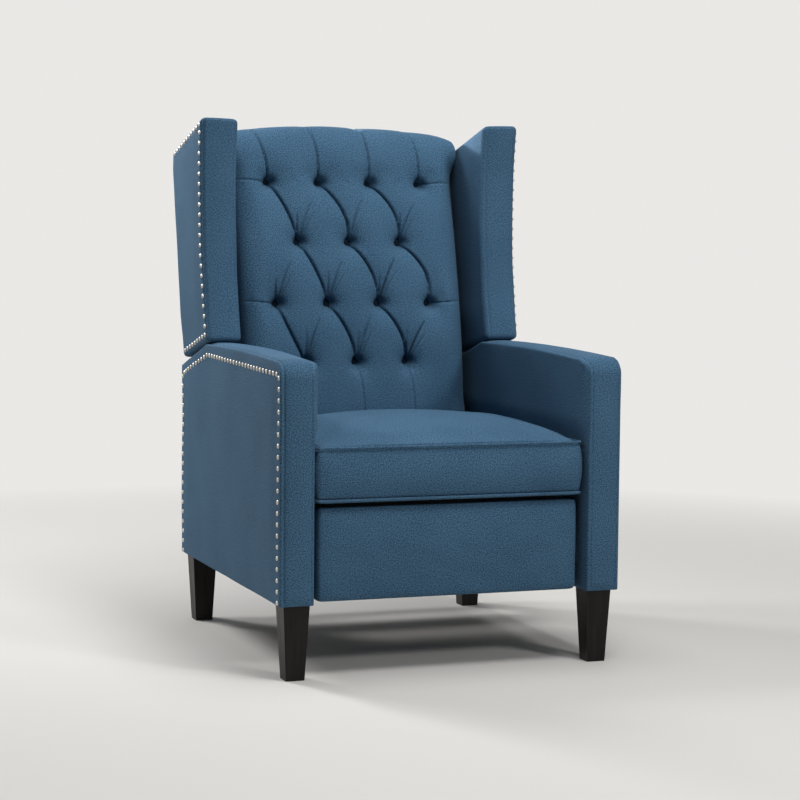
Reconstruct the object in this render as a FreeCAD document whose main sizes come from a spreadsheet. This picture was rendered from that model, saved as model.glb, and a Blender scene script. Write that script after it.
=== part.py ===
import FreeCAD, Part
import Sketcher
import math
import os
import re

Vector = FreeCAD.Vector

# Wingback push-back recliner. Millimetres and degrees, +Z up, the sitter faces -Y.
# The origin is on the floor under the middle of the chair. Left is the sitter's left, +X.

# Driving dimensions
SIZES = {
    # whole chair
    "chair_depth": 800.0,
    "arm_half_width": 350.0,
    "arm_thickness": 68.0,
    "arm_rear_setback": 54.0,
    "leg_height": 145.0,
    "arm_front_height": 603.0,
    "arm_crown": 5.0,
    "arm_flat_depth": 545.0,
    "arm_flat_height": 611.0,
    "arm_rear_height": 557.0,
    "arm_edge_radius": 9.0,
    "arm_nose_radius": 14.0,
    "cover_wall": 11.0,
    "slip": 0.3,
    "overrun": 60.0,
    # arm frame timber
    "timber": 44.0,
    "rail_height": 60.0,
    # legs
    "leg_top": 52.0,
    "leg_foot": 37.0,
    "leg_inset": 11.0,
    "leg_bolt_radius": 4.0,
    "leg_bolt_socket": 30.0,
    # cross rails of the base
    "front_rail_depth": 44.0,
    "front_rail_setback": 66.0,
    "front_rail_foot": 148.0,
    "front_rail_height": 25.0,
    "rear_rail_depth": 36.0,
    "rear_rail_inset": 12.0,
    "rear_rail_height": 66.0,
    "side_rail_foot": 160.0,
    "side_rail_height": 62.0,
    "side_rail_gauge": 11.7,
    "side_rail_front_setback": 130.0,
    "side_rail_rear_setback": 140.0,
    # steel mechanism
    "plate_gauge": 3.0,
    "layer_gap": 1.5,
    "link_half_width": 9.0,
    "short_half_width": 12.0,
    "swing_half_width": 11.0,
    "rivet_radius": 4.0,
    "head_radius": 6.5,
    "head_height": 0.9,
    "rivet_slip": 0.06,
    "swing_length": 110.0,
    "swing_lean": 10.0,
    "swing_turn": 19.0,
    "front_swing_setback": 220.0,
    "rear_swing_setback": 230.0,
    "swing_top_z": 300.0,
    "hinge_setback": 138.0,
    "hinge_z": 350.0,
    "recline_turn": 34.0,
    "lever_drop": 28.0,
    "lever_setback": 8.0,
    "drive_foot_drop": 155.0,
    "drive_eye_slip": 2.4,
    "long_pivot_setback": 378.0,
    "long_pivot_z": 312.0,
    "short_pivot_step": 38.3,
    "short_pivot_drop": 0.7,
    "long_reach": 161.0,
    "long_tail": 35.0,
    "long_rest_angle": 125.1,
    "cross_tail": 39.0,
    "cross_eye_setback": 72.0,
    "cross_eye_z": 309.6,
    "guide_eye_setback": 85.4,
    "guide_eye_z": 275.0,
    "short_eye_slip": 4.0,
    "guide_eye_slip": 3.0,
    "tube_radius": 8.0,
    "tube_bore_radius": 6.5,
    "tube_station": 100.0,
    "plate_margin": 15.0,
    # seat
    "seat_timber_height": 45.0,
    "seat_timber": 25.0,
    "seat_frame_front_setback": 65.0,
    "seat_frame_rear_setback": 215.0,
    "strap_width": 50.0,
    "strap_gauge": 2.0,
    "seat_straps": 4.0,
    "cushion_side_gap": 7.0,
    "cushion_setback": 14.0,
    "cushion_rear_setback": 242.0,
    "cushion_foot": 344.0,
    "cushion_welt_height": 443.0,
    "cushion_crest_height": 495.0,
    "cushion_rear_height": 472.0,
    "cushion_shoulder": 30.0,
    "cushion_front_bulge": 7.0,
    "cushion_top_bulge": 17.0,
    "cushion_side_drop": 24.0,
    "cushion_side_draw": 5.0,
    # footrest
    "footrest_side_gap": 12.0,
    "footrest_foot": 146.0,
    "footrest_head": 337.0,
    "footrest_setback": 15.0,
    "footrest_depth": 47.0,
    "footrest_bulge": 5.0,
    "footrest_edge_radius": 12.0,
    "footrest_board_gauge": 15.0,
    "footrest_board_inset": 14.0,
    "bracket_flange": 22.0,
    "bracket_foot": 190.0,
    # back
    "back_lean": 9.9,
    "back_side_gap": 9.0,
    "back_foot": 352.0,
    "back_head": 1030.0,
    "back_panel_set": 3.0,
    "back_panel_foot": 236.0,
    "back_panel_notch": 384.0,
    "back_frame_head": 1016.0,
    "back_timber": 38.0,
    "back_timber_width": 40.0,
    "back_rail_width": 56.0,
    "back_panel_gauge": 10.0,
    "back_straps": 7.0,
    "back_cushion_foot": 392.0,
    "back_crest_height": 1082.0,
    "back_crest_fall": 26.0,
    "back_crest_depth": 72.0,
    "back_roll": 40.0,
    "back_roll_rear_height": 1037.0,
    "tuft_row_one_height": 955.0,
    "tuft_row_two_height": 825.0,
    "tuft_row_three_height": 693.0,
    "tuft_row_four_height": 567.0,
    "tuft_row_one_setback": 111.0,
    "tuft_row_two_setback": 151.0,
    "tuft_row_three_setback": 185.0,
    "tuft_row_four_setback": 207.0,
    "tuft_foot_setback": 214.0,
    "tuft_spacing": 116.5,
    "tuft_crown": 24.0,
    "tuft_tip": 23.0,
    "pleat_width": 6.0,
    "button_radius": 10.5,
    "button_dome": 5.0,
    "button_lift": 9.5,
    "button_stem_radius": 1.5,
    # wings
    "wing_side_gap": 5.0,
    "wing_thickness": 75.0,
    "wing_flare": 6.0,
    "wing_front_foot_setback": 277.0,
    "wing_front_foot_z": 630.0,
    "wing_front_head_setback": 237.5,
    "wing_front_head_z": 1080.0,
    "wing_waist": 26.0,
    "wing_rear_foot_z": 584.0,
    "wing_rear_head_z": 1021.0,
    "wing_edge_radius": 9.0,
    "wing_board_gauge": 12.0,
    "wing_board_inset": 26.0,
    "wing_block_height": 60.0,
    "wing_block_low_z": 660.0,
    "wing_block_high_z": 900.0,
}

# Places and shared edges, each worked out from the driving dimensions
PLACES = {
    "chair_rear": "chair_depth / 2",
    "arm_front": "-chair_depth / 2",
    "arm_rear": "chair_rear - arm_rear_setback",
    "arm_inner": "arm_half_width - arm_thickness",
    "arm_flat_y": "arm_front + arm_flat_depth",
    "frame_in_x": "arm_inner + cover_wall + slip",
    "frame_out_x": "arm_half_width - cover_wall - slip",
    "frame_front_y": "arm_front + cover_wall + slip",
    "frame_rear_y": "arm_rear - cover_wall - slip",
    "frame_top_z": "arm_rear_height - 2 * cover_wall",
    "leg_x": "arm_half_width - leg_inset - leg_top / 2",
    "front_leg_y": "arm_front + leg_inset + leg_top / 2",
    "rear_leg_y": "arm_rear - leg_inset - leg_top / 2",
    "front_rail_y": "arm_front + front_rail_setback",
    "rear_rail_y": "arm_rear - rear_rail_inset - rear_rail_depth",
    "side_rail_front": "arm_front + side_rail_front_setback",
    "side_rail_rear": "chair_rear - side_rail_rear_setback",
    # layers of the mechanism, from the seat frame outwards
    "layer_step": "plate_gauge + layer_gap",
    "seat_half_width": "arm_inner - slip - side_rail_gauge - plate_gauge - 6 * layer_step",
    "long_layer": "seat_half_width + layer_step",
    "cross_layer": "seat_half_width + 2 * layer_step",
    "short_layer": "seat_half_width + 3 * layer_step",
    "swing_layer": "seat_half_width + 5 * layer_step",
    "base_layer": "seat_half_width + 6 * layer_step",
    "base_layer_out": "base_layer + plate_gauge",
    # swing links and back drive
    "front_swing_y": "arm_front + front_swing_setback",
    "rear_swing_y": "chair_rear - rear_swing_setback",
    "hinge_y": "chair_rear - hinge_setback",
    "swing_foot_z": "swing_top_z - swing_length * cos(swing_lean)",
    "swing_setback": "swing_length * sin(swing_lean)",
    "front_swing_foot_y": "front_swing_y - swing_setback",
    "rear_swing_foot_y": "rear_swing_y - swing_setback",
    "seat_travel": "swing_length * (sin(swing_lean) + sin(swing_turn - swing_lean))",
    "seat_rise": "swing_length * (cos(swing_turn - swing_lean) - cos(swing_lean))",
    "lever_y": "hinge_y - lever_setback",
    "lever_z": "hinge_z - lever_drop",
    "lever_end_y": "hinge_y - seat_travel - lever_setback * cos(recline_turn) - lever_drop * sin(recline_turn)",
    "lever_end_z": "hinge_z + seat_rise + lever_setback * sin(recline_turn) - lever_drop * cos(recline_turn)",
    "lever_run": "sqrt((lever_y - lever_end_y) ^ 2 + (lever_z - lever_end_z) ^ 2)",
    "drive_y": "(lever_y + lever_end_y) / 2 - drive_foot_drop * (lever_end_z - lever_z) / lever_run",
    "drive_z": "(lever_z + lever_end_z) / 2 - drive_foot_drop * (lever_y - lever_end_y) / lever_run",
    # footrest linkage
    "long_pivot_y": "arm_front + long_pivot_setback",
    "cross_eye_y": "arm_front + cross_eye_setback",
    "guide_eye_y": "arm_front + guide_eye_setback",
    "short_pivot_y": "long_pivot_y + short_pivot_step",
    "short_pivot_z": "long_pivot_z - short_pivot_drop",
    "scissor_y": "long_pivot_y - long_reach * cos(long_rest_angle)",
    "scissor_z": "long_pivot_z - long_reach * sin(long_rest_angle)",
    "tail_y": "long_pivot_y - (long_reach + long_tail) * cos(long_rest_angle)",
    "tail_z": "long_pivot_z - (long_reach + long_tail) * sin(long_rest_angle)",
    "tube_y": "long_pivot_y - tube_station * cos(long_rest_angle)",
    "tube_z": "long_pivot_z - tube_station * sin(long_rest_angle)",
    "cross_run": "sqrt((scissor_y - cross_eye_y) ^ 2 + (scissor_z - cross_eye_z) ^ 2)",
    "short_eye_y": "scissor_y + cross_tail * (scissor_y - cross_eye_y) / cross_run",
    "short_eye_z": "scissor_z + cross_tail * (scissor_z - cross_eye_z) / cross_run",
    # seat, footrest and back
    "seat_frame_front": "arm_front + seat_frame_front_setback",
    "seat_frame_rear": "chair_rear - seat_frame_rear_setback",
    "cushion_half_width": "arm_inner - cushion_side_gap",
    "cushion_front": "arm_front + cushion_setback",
    "cushion_rear": "chair_rear - cushion_rear_setback",
    "footrest_half_width": "arm_inner - footrest_side_gap",
    "footrest_front": "arm_front + footrest_setback",
    "back_half_width": "arm_inner - back_side_gap",
    "tuft_row_one_y": "chair_rear - tuft_row_one_setback",
    "tuft_row_two_y": "chair_rear - tuft_row_two_setback",
    "tuft_row_three_y": "chair_rear - tuft_row_three_setback",
    "tuft_row_four_y": "chair_rear - tuft_row_four_setback",
    "tuft_foot_y": "chair_rear - tuft_foot_setback",
    "wing_inner": "arm_inner - wing_side_gap",
    "wing_front_foot_y": "chair_rear - wing_front_foot_setback",
    "wing_front_head_y": "chair_rear - wing_front_head_setback",
    "seat_deck_z": "cushion_foot - strap_gauge - slip",
    "seat_frame_foot": "seat_deck_z - seat_timber_height",
    "footrest_rear": "footrest_front + footrest_depth",
    "rear_line_y": "chair_rear - (wing_rear_head_z - back_foot) * tan(back_lean)",
    "wing_rear_foot_y": "chair_rear - (wing_rear_head_z - wing_rear_foot_z) * tan(back_lean)",
    "back_frame_length": "(back_frame_head - back_foot) / cos(back_lean)",
    "back_frame_skin": "back_panel_set + back_panel_gauge + slip",
    "back_skin_y": "rear_line_y - (back_frame_skin + slip) / cos(back_lean)",
    "bracket_notch_y": "back_skin_y + (back_panel_notch - back_foot) * tan(back_lean)",
    "bracket_top_z": "hinge_z + 4 * back_rail_width",
    "bracket_top_y": "back_skin_y + (bracket_top_z - back_foot) * tan(back_lean)",
    "wing_outer_foot": "wing_inner + wing_thickness",
    "wing_outer_head": "wing_outer_foot + wing_flare",
    "wing_board_in": "wing_inner + (wing_thickness - wing_board_gauge) / 2",
    "wing_block_in": "seat_half_width + layer_step",
}

doc = FreeCAD.newDocument("recliner")


def bind(text):
    """Point every named size in an expression at its sheet."""
    def owner(match):
        word = match.group()
        if word in SIZES:
            return "Sizes." + word
        return "Places." + word if word in PLACES else word
    return re.sub(r"[a-z_]+", owner, str(text))


def fill_sheet(name, rows):
    sheet = doc.addObject("Spreadsheet::Sheet", name)
    for row, (alias, value) in enumerate(rows.items(), start=1):
        sheet.set(f"A{row}", alias)
        sheet.set(f"B{row}", str(value) if name == "Sizes" else "=" + bind(value))
        sheet.setAlias(f"B{row}", alias)
    doc.recompute()
    return sheet


sizes = fill_sheet("Sizes", SIZES)
places = fill_sheet("Places", PLACES)


def read(text):
    """The value in millimetres or degrees of an expression of named sizes."""
    value = sizes.evalExpression(bind(text))
    return float(getattr(value, "Value", value))


nodes = []


def keep(obj, label):
    """Label a finished sub-part: the label is its node and file name."""
    obj.Label = label
    nodes.append(obj)
    return obj


def part(kind, name, **values):
    obj = doc.addObject(kind, name)
    for key, value in values.items():
        if isinstance(value, str):
            obj.setExpression(key, bind(value))
        else:
            setattr(obj, key, value)
    return obj


def move(obj, x="0", y="0", z="0"):
    for axis, text in zip("xyz", (x, y, z)):
        obj.setExpression(f".Placement.Base.{axis}", bind(text))
    return obj


def box(name, x, y, z):
    """A box between two planes along each axis."""
    obj = part("Part::Box", name, Length=f"({x[1]}) - ({x[0]})",
               Width=f"({y[1]}) - ({y[0]})", Height=f"({z[1]}) - ({z[0]})")
    return move(obj, x[0], y[0], z[0])


def rod(name, x, y, z, radius):
    """A round bar along X."""
    obj = part("Part::Cylinder", name, Radius=radius, Height=f"({x[1]}) - ({x[0]})")
    obj.Placement.Rotation = FreeCAD.Rotation(Vector(0, 1, 0), 90)
    return move(obj, x[0], y, z)


def origin_plane(body, role):
    return next(item for item in body.Origin.OriginFeatures if item.Role == role)


def polygon(sketch, points):
    """A closed outline. Each point is where a line from the one before it ends, or with
    a third value an arc, which bulges that far to the right of its way."""
    flat = [Vector(read(point[0]), read(point[1]), 0) for point in points]
    ends = []
    first = sketch.GeometryCount
    for index, point in enumerate(points):
        start, end = flat[index - 1], flat[index]
        number = first + index
        if len(point) == 2:
            sketch.addGeometry(Part.LineSegment(start, end))
            ends.append((number, 1, 2))
            continue
        bulge = read(point[2])
        way = (end - start).normalize()
        middle = (start + end) / 2 + Vector(way.y, -way.x, 0) * bulge
        sketch.addGeometry(Part.Arc(start, middle, end))
        ends.append((number, 1, 2) if bulge > 0 else (number, 2, 1))
        before = points[index - 1]
        chord = f"((({point[0]}) - ({before[0]})) ^ 2 + (({point[1]}) - ({before[1]})) ^ 2)"
        rise = f"abs({point[2]})"
        radius = f"({chord} / 4 + ({rise}) ^ 2) / (2 * {rise})"
        row = sketch.addConstraint(Sketcher.Constraint("Radius", number, read(radius)))
        sketch.setExpression(f"Constraints[{row}]", bind(radius))
    for index, point in enumerate(points):
        number, _, last = ends[index]
        after, begin, _ = ends[(index + 1) % len(points)]
        sketch.addConstraint(Sketcher.Constraint("Coincident", number, last, after, begin))
        pin_point(sketch, number, last, point)


def pin_point(sketch, number, spot, point):
    for kind, text in zip(("DistanceX", "DistanceY"), point):
        row = sketch.addConstraint(Sketcher.Constraint(kind, number, spot, read(text)))
        sketch.setExpression(f"Constraints[{row}]", bind(text))


def ring(sketch, y, z, radius):
    number = sketch.addGeometry(Part.Circle(Vector(read(y), read(z), 0), Vector(0, 0, 1), read(radius)))
    row = sketch.addConstraint(Sketcher.Constraint("Radius", number, read(radius)))
    sketch.setExpression(f"Constraints[{row}]", bind(radius))
    pin_point(sketch, number, 3, (y, z))


def sketch_on(body, role, points, rings=(), offset="0"):
    sketch = body.newObject("Sketcher::SketchObject", body.Name + "_sketch")
    sketch.AttachmentSupport = [(origin_plane(body, role), "")]
    sketch.MapMode = "FlatFace"
    sketch.setExpression("AttachmentOffset.Base.z", bind(offset))
    if points:
        polygon(sketch, points)
    for spot in rings:
        ring(sketch, *spot)
    return sketch


def feature(body, kind, sketch, length, reverse=False):
    item = body.newObject("PartDesign::" + kind, body.Name + "_" + kind.lower())
    item.Profile = sketch
    item.Reversed = reverse
    item.setExpression("Length", bind(length))
    doc.recompute()
    return item


def side_plate(name, points, x, thick, rings=()):
    """A body padded outwards from a side outline (Y, Z) at X, with round holes."""
    body = doc.addObject("PartDesign::Body", name)
    feature(body, "Pad", sketch_on(body, "YZ_Plane", points, rings, x), thick)
    return body


def edges_of(shape, test):
    """Names of the edges whose box passes a test."""
    names = []
    for number, edge in enumerate(shape.Edges, start=1):
        if test(edge.BoundBox):
            names.append(f"Edge{number}")
    return names


def near(value, text):
    return abs(value - read(text)) < 0.01


def fillet(body, names, radius):
    base = body.Tip
    item = body.newObject("PartDesign::Fillet", body.Name + "_fillet")
    item.Base = (base, names)
    item.setExpression("Radius", bind(radius))
    doc.recompute()
    return item


def mirrored(obj, label):
    """The right-hand twin of a left-hand sub-part."""
    twin = doc.addObject("Part::Mirroring", label)
    twin.Source = obj
    twin.Normal = Vector(1, 0, 0)
    return keep(twin, label)


def pair(obj, name):
    """Keep a left-hand sub-part and its right-hand twin."""
    keep(obj, name + "_left")
    mirrored(obj, name + "_right")


def group(label, items, both_sides=False):
    """Like pieces that share one node, on one side or on both."""
    if both_sides:
        near_side = part("Part::Compound", label + "_near", Links=items)
        twin = doc.addObject("Part::Mirroring", label + "_twin")
        twin.Source = near_side
        twin.Normal = Vector(1, 0, 0)
        items = [near_side, twin]
    return keep(part("Part::Compound", label, Links=items), label)


# Arms: a timber frame inside an upholstered cover

def make_arm():
    body = side_plate("arm", [
        ("arm_front", "leg_height"), ("arm_rear", "leg_height"), ("arm_rear", "arm_rear_height"),
        ("arm_flat_y", "arm_flat_height"), ("arm_front", "arm_front_height", "arm_crown")],
        "arm_inner", "arm_thickness")
    nose = edges_of(body.Shape, lambda b: near(b.YMax, "arm_front") and near(b.ZMin, "arm_front_height"))
    fillet(body, nose, "arm_nose_radius")
    rim = edges_of(body.Shape, lambda b: b.XLength < read("slip") and b.ZMax > read("leg_height + slip"))
    fillet(body, rim, "arm_edge_radius")
    cavity = sketch_on(body, "YZ_Plane", [
        ("arm_front + cover_wall", "leg_height - cover_wall"),
        ("arm_rear - cover_wall", "leg_height - cover_wall"),
        ("arm_rear - cover_wall", "frame_top_z + slip"),
        ("arm_front + cover_wall", "frame_top_z + slip")], (), "arm_inner + cover_wall")
    feature(body, "Pocket", cavity, "arm_thickness - 2 * cover_wall", True)
    pair(body, "arm_cover")


def make_arm_frame():
    across = ("frame_in_x", "frame_out_x")
    along = ("frame_front_y", "frame_rear_y")
    between = ("frame_front_y + timber", "frame_rear_y - timber")
    low = ("leg_height", "leg_height + rail_height")
    high = ("frame_top_z - rail_height", "frame_top_z")
    upright = ("leg_height + rail_height", "frame_top_z")
    group("arm_bottom_rails", [box("arm_bottom_rail", across, along, low)], True)
    top = box("arm_top_rail", across, between, high)
    front = box("arm_front_post", across, ("frame_front_y", "frame_front_y + timber"), upright)
    rear = box("arm_rear_post", across, ("frame_rear_y - timber", "frame_rear_y"), upright)
    group("arm_top_rails", [top], True)
    group("arm_posts", [front, rear], True)


# Legs: square, tapered on every side, each with a hanger bolt into the arm frame

def make_leg(label, x, y):
    wedge = part("Part::Wedge", "leg_block", Xmin="-leg_foot / 2", Xmax="leg_foot / 2", Ymin="0", Ymax="leg_height",
                 Zmin="-leg_foot / 2", Zmax="leg_foot / 2", X2min="-leg_top / 2", X2max="leg_top / 2",
                 Z2min="-leg_top / 2", Z2max="leg_top / 2")
    wedge.Placement.Rotation = FreeCAD.Rotation(Vector(1, 0, 0), 90)
    socket = part("Part::Cylinder", "leg_socket", Radius="leg_bolt_radius", Height="leg_bolt_socket")
    move(socket, "0", "0", "leg_height - leg_bolt_socket")
    leg = part("Part::Cut", label, Base=wedge, Tool=socket)
    return keep(move(leg, x, y), label)


def make_legs():
    bolts = []
    for end, y in (("front", "front_leg_y"), ("rear", "rear_leg_y")):
        for side, x in (("left", "leg_x"), ("right", "-leg_x")):
            make_leg(f"leg_{end}_{side}", x, y)
            bolt = part("Part::Cylinder", "leg_bolt", Radius="leg_bolt_radius - rivet_slip",
                        Height="leg_bolt_socket - slip")
            bolts.append(move(bolt, x, y, "leg_height - leg_bolt_socket"))
    group("leg_bolts", bolts)


# Base: cross rails between the arms and the rails that carry the steel plates

def make_base():
    across = ("slip - arm_inner", "arm_inner - slip")
    keep(box("front_rail", across, ("front_rail_y", "front_rail_y + front_rail_depth"),
             ("front_rail_foot", "front_rail_foot + front_rail_height")), "front_rail")
    keep(box("rear_rail", across, ("rear_rail_y", "rear_rail_y + rear_rail_depth"),
             ("front_rail_foot", "front_rail_foot + rear_rail_height")), "rear_rail")
    side = box("base_side_rail", ("base_layer_out", "arm_inner - slip"), ("side_rail_front", "side_rail_rear"),
               ("side_rail_foot", "side_rail_foot + side_rail_height"))
    group("base_side_rails", [side], True)
    plate = side_plate("base_plate", [
        ("side_rail_front", "side_rail_foot"), ("side_rail_rear", "side_rail_foot"),
        ("side_rail_rear", "side_rail_foot + side_rail_height"),
        ("side_rail_front", "side_rail_foot + side_rail_height")], "base_layer", "plate_gauge",
        [("front_swing_foot_y", "swing_foot_z", "rivet_radius"),
         ("rear_swing_foot_y", "swing_foot_z", "rivet_radius"),
         ("drive_y", "drive_z", "rivet_radius")])
    pair(plate, "base_plate")


# Links: flat bars with round ends, each at its layer

# The rounded end of a link is this share of a half circle deep
ROUND_SHARE = 0.98


def link(name, start, end, layer, half="link_half_width", eyes=()):
    """A bar between two pivots, with an eye at each pivot: (y, z, slip round the rivet)."""
    run = f"sqrt((({end[0]}) - ({start[0]})) ^ 2 + (({end[1]}) - ({start[1]})) ^ 2)"
    way_y = f"((({end[0]}) - ({start[0]})) / {run})"
    way_z = f"((({end[1]}) - ({start[1]})) / {run})"
    points = []
    for spot, side in ((start, 1), (end, 1), (end, -1), (start, -1)):
        y = f"({spot[0]}) + ({side}) * ({way_z}) * ({half})"
        z = f"({spot[1]}) - ({side}) * ({way_y}) * ({half})"
        points.append((y, z))
    points[2] += (f"({half}) * {ROUND_SHARE}",)
    points[0] += (f"({half}) * {ROUND_SHARE}",)
    rings = [(y, z, f"rivet_radius + {slip}") for y, z, slip in eyes]
    return side_plate(name, points, layer, "plate_gauge", rings)


def make_links():
    swing_eyes = [("front_swing_y", "swing_top_z", "slip"),
                  ("front_swing_foot_y", "swing_foot_z", "rivet_slip")]
    pair(link("front_swing_link", swing_eyes[1][:2], swing_eyes[0][:2], "swing_layer",
              "swing_half_width", swing_eyes), "front_swing_link")
    rear_eyes = [("rear_swing_y", "swing_top_z", "rivet_slip"),
                 ("rear_swing_foot_y", "swing_foot_z", "rivet_slip")]
    pair(link("rear_swing_link", rear_eyes[1][:2], rear_eyes[0][:2], "swing_layer",
              "swing_half_width", rear_eyes), "rear_swing_link")
    drive_eyes = [("drive_y", "drive_z", "rivet_slip"), ("lever_y", "lever_z", "drive_eye_slip")]
    pair(link("back_drive_link", drive_eyes[0][:2], drive_eyes[1][:2], "swing_layer",
              "swing_half_width", drive_eyes), "back_drive_link")
    long_eyes = [("long_pivot_y", "long_pivot_z", "rivet_slip"), ("scissor_y", "scissor_z", "rivet_slip"),
                 ("tail_y", "tail_z", "rivet_slip")]
    pair(link("long_link", long_eyes[0][:2], long_eyes[2][:2], "long_layer", eyes=long_eyes), "long_link")
    cross_eyes = [("short_eye_y", "short_eye_z", "rivet_slip"), ("scissor_y", "scissor_z", "rivet_slip"),
                  ("cross_eye_y", "cross_eye_z", "rivet_slip")]
    pair(link("cross_link", cross_eyes[0][:2], cross_eyes[2][:2], "cross_layer", eyes=cross_eyes), "cross_link")
    short_eyes = [("short_pivot_y", "short_pivot_z", "rivet_slip"), ("short_eye_y", "short_eye_z", "short_eye_slip")]
    pair(link("short_link", short_eyes[0][:2], short_eyes[1][:2], "short_layer",
              "short_half_width", short_eyes), "short_link")
    guide_eyes = [("tail_y", "tail_z", "rivet_slip"), ("guide_eye_y", "guide_eye_z", "guide_eye_slip")]
    pair(link("guide_link", guide_eyes[0][:2], guide_eyes[1][:2], "short_layer", eyes=guide_eyes), "guide_link")
    tube = part("Part::Cut", "drive_tube",
                Base=rod("tube_body", ("-long_layer", "long_layer"), "tube_y", "tube_z", "tube_radius"),
                Tool=rod("tube_bore", ("-long_layer - overrun", "long_layer + overrun"),
                         "tube_y", "tube_z", "tube_bore_radius"))
    keep(tube, "footrest_drive_tube")


# Facets of a rivet's pressed head
HEAD_SIDES = 12


def head(x, y, z):
    """The pressed head of a rivet."""
    obj = part("Part::Prism", "head", Polygon=HEAD_SIDES, Circumradius="head_radius", Height=f"({x[1]}) - ({x[0]})")
    obj.Placement.Rotation = FreeCAD.Rotation(Vector(0, 1, 0), 90)
    return move(obj, x[0], y, z)


def rivet(spot, first, last, inner_head=True):
    """A rivet from the inner plate of a joint to its outer plate."""
    y, z = spot
    low = f"{first} - head_height - slip" if inner_head else first
    high = f"{last} + plate_gauge + slip"
    pieces = [rod("shank", (low, high), y, z, "rivet_radius - rivet_slip"),
              head((high, f"{high} + head_height"), y, z)]
    if inner_head:
        pieces.append(head((low, f"{first} - slip"), y, z))
    return part("Part::MultiFuse", "rivet", Shapes=pieces)


def base_rivet(spot):
    """A rivet that stands inwards from the base plate, through a link of the swing layer."""
    y, z = spot
    inner = "swing_layer - slip"
    pieces = [rod("shank", (inner, "base_layer_out"), y, z, "rivet_radius - rivet_slip"),
              head((f"{inner} - head_height", inner), y, z)]
    return part("Part::MultiFuse", "rivet", Shapes=pieces)


def make_rivets():
    group("base_rivets", [base_rivet(spot) for spot in (
        ("front_swing_foot_y", "swing_foot_z"), ("rear_swing_foot_y", "swing_foot_z"),
        ("drive_y", "drive_z"))], True)
    seat = [rivet((y, "swing_top_z"), "seat_half_width", "swing_layer", False)
            for y in ("front_swing_y", "rear_swing_y")]
    seat.append(rivet(("hinge_y", "hinge_z"), "seat_half_width", "long_layer"))
    seat.append(rivet(("long_pivot_y", "long_pivot_z"), "seat_half_width", "long_layer", False))
    seat.append(rivet(("short_pivot_y", "short_pivot_z"), "seat_half_width", "short_layer", False))
    group("seat_rivets", seat, True)
    group("lever_rivets", [rivet(("lever_y", "lever_z"), "long_layer", "swing_layer")], True)
    group("long_link_rivets", [rivet(("scissor_y", "scissor_z"), "long_layer", "cross_layer"),
                               rivet(("tail_y", "tail_z"), "long_layer", "short_layer")], True)
    group("cross_link_rivets", [rivet(("short_eye_y", "short_eye_z"), "cross_layer", "short_layer")], True)
    group("footrest_rivets", [rivet(("cross_eye_y", "cross_eye_z"), "long_layer", "cross_layer"),
                              rivet(("guide_eye_y", "guide_eye_z"), "long_layer", "short_layer")], True)


# Seat: a timber frame with webbing, two steel plates and the welted cushion

def make_seat_frame():
    across = ("-seat_half_width", "seat_half_width")
    height = ("seat_frame_foot", "seat_deck_z")
    keep(box("seat_front_rail", across, ("seat_frame_front", "seat_frame_front + seat_timber"), height),
         "seat_front_rail")
    keep(box("seat_rear_rail", across, ("seat_frame_rear - seat_timber", "seat_frame_rear"), height),
         "seat_rear_rail")
    side = box("seat_side_rail", ("seat_half_width - seat_timber", "seat_half_width"),
               ("seat_frame_front + seat_timber", "seat_frame_rear - seat_timber"), height)
    group("seat_side_rails", [side], True)
    straps = []
    count = int(read("seat_straps"))
    room = "(seat_frame_rear - seat_frame_front - strap_width)"
    for index in range(count):
        start = f"{room} * {index} / {count - 1} + seat_frame_front"
        straps.append(box("seat_strap", across, (start, f"{start} + strap_width"),
                          ("seat_deck_z", "seat_deck_z + strap_gauge")))
    group("seat_webbing", straps)
    plate = side_plate("seat_plate", [
        ("front_swing_y - plate_margin", "swing_top_z - plate_margin"),
        ("rear_swing_y + plate_margin", "swing_top_z - plate_margin"),
        ("hinge_y + plate_margin", "hinge_z - plate_margin"),
        ("hinge_y + plate_margin", "hinge_z + plate_margin"),
        ("hinge_y - plate_margin", "hinge_z + plate_margin"),
        ("rear_swing_y", "seat_deck_z - slip"),
        ("front_swing_y - plate_margin", "seat_deck_z - slip")], "seat_half_width", "plate_gauge",
        [("front_swing_y", "swing_top_z", "rivet_radius"), ("rear_swing_y", "swing_top_z", "rivet_radius"),
         ("hinge_y", "hinge_z", "rivet_radius"), ("long_pivot_y", "long_pivot_z", "rivet_radius"),
         ("short_pivot_y", "short_pivot_z", "rivet_radius")])
    pair(plate, "seat_plate")


# How far up its rise the cushion's rounded front edge is at a quarter of its depth
BROW_SHARE = 0.52

# Stations of the seat cushion across its width: share of the half width, share of the fall
CUSHION_STATION_SHARES = ((-1.0, 1.0), (-0.75, 0.38), (0.0, 0.0), (0.75, 0.38), (1.0, 1.0))


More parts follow.
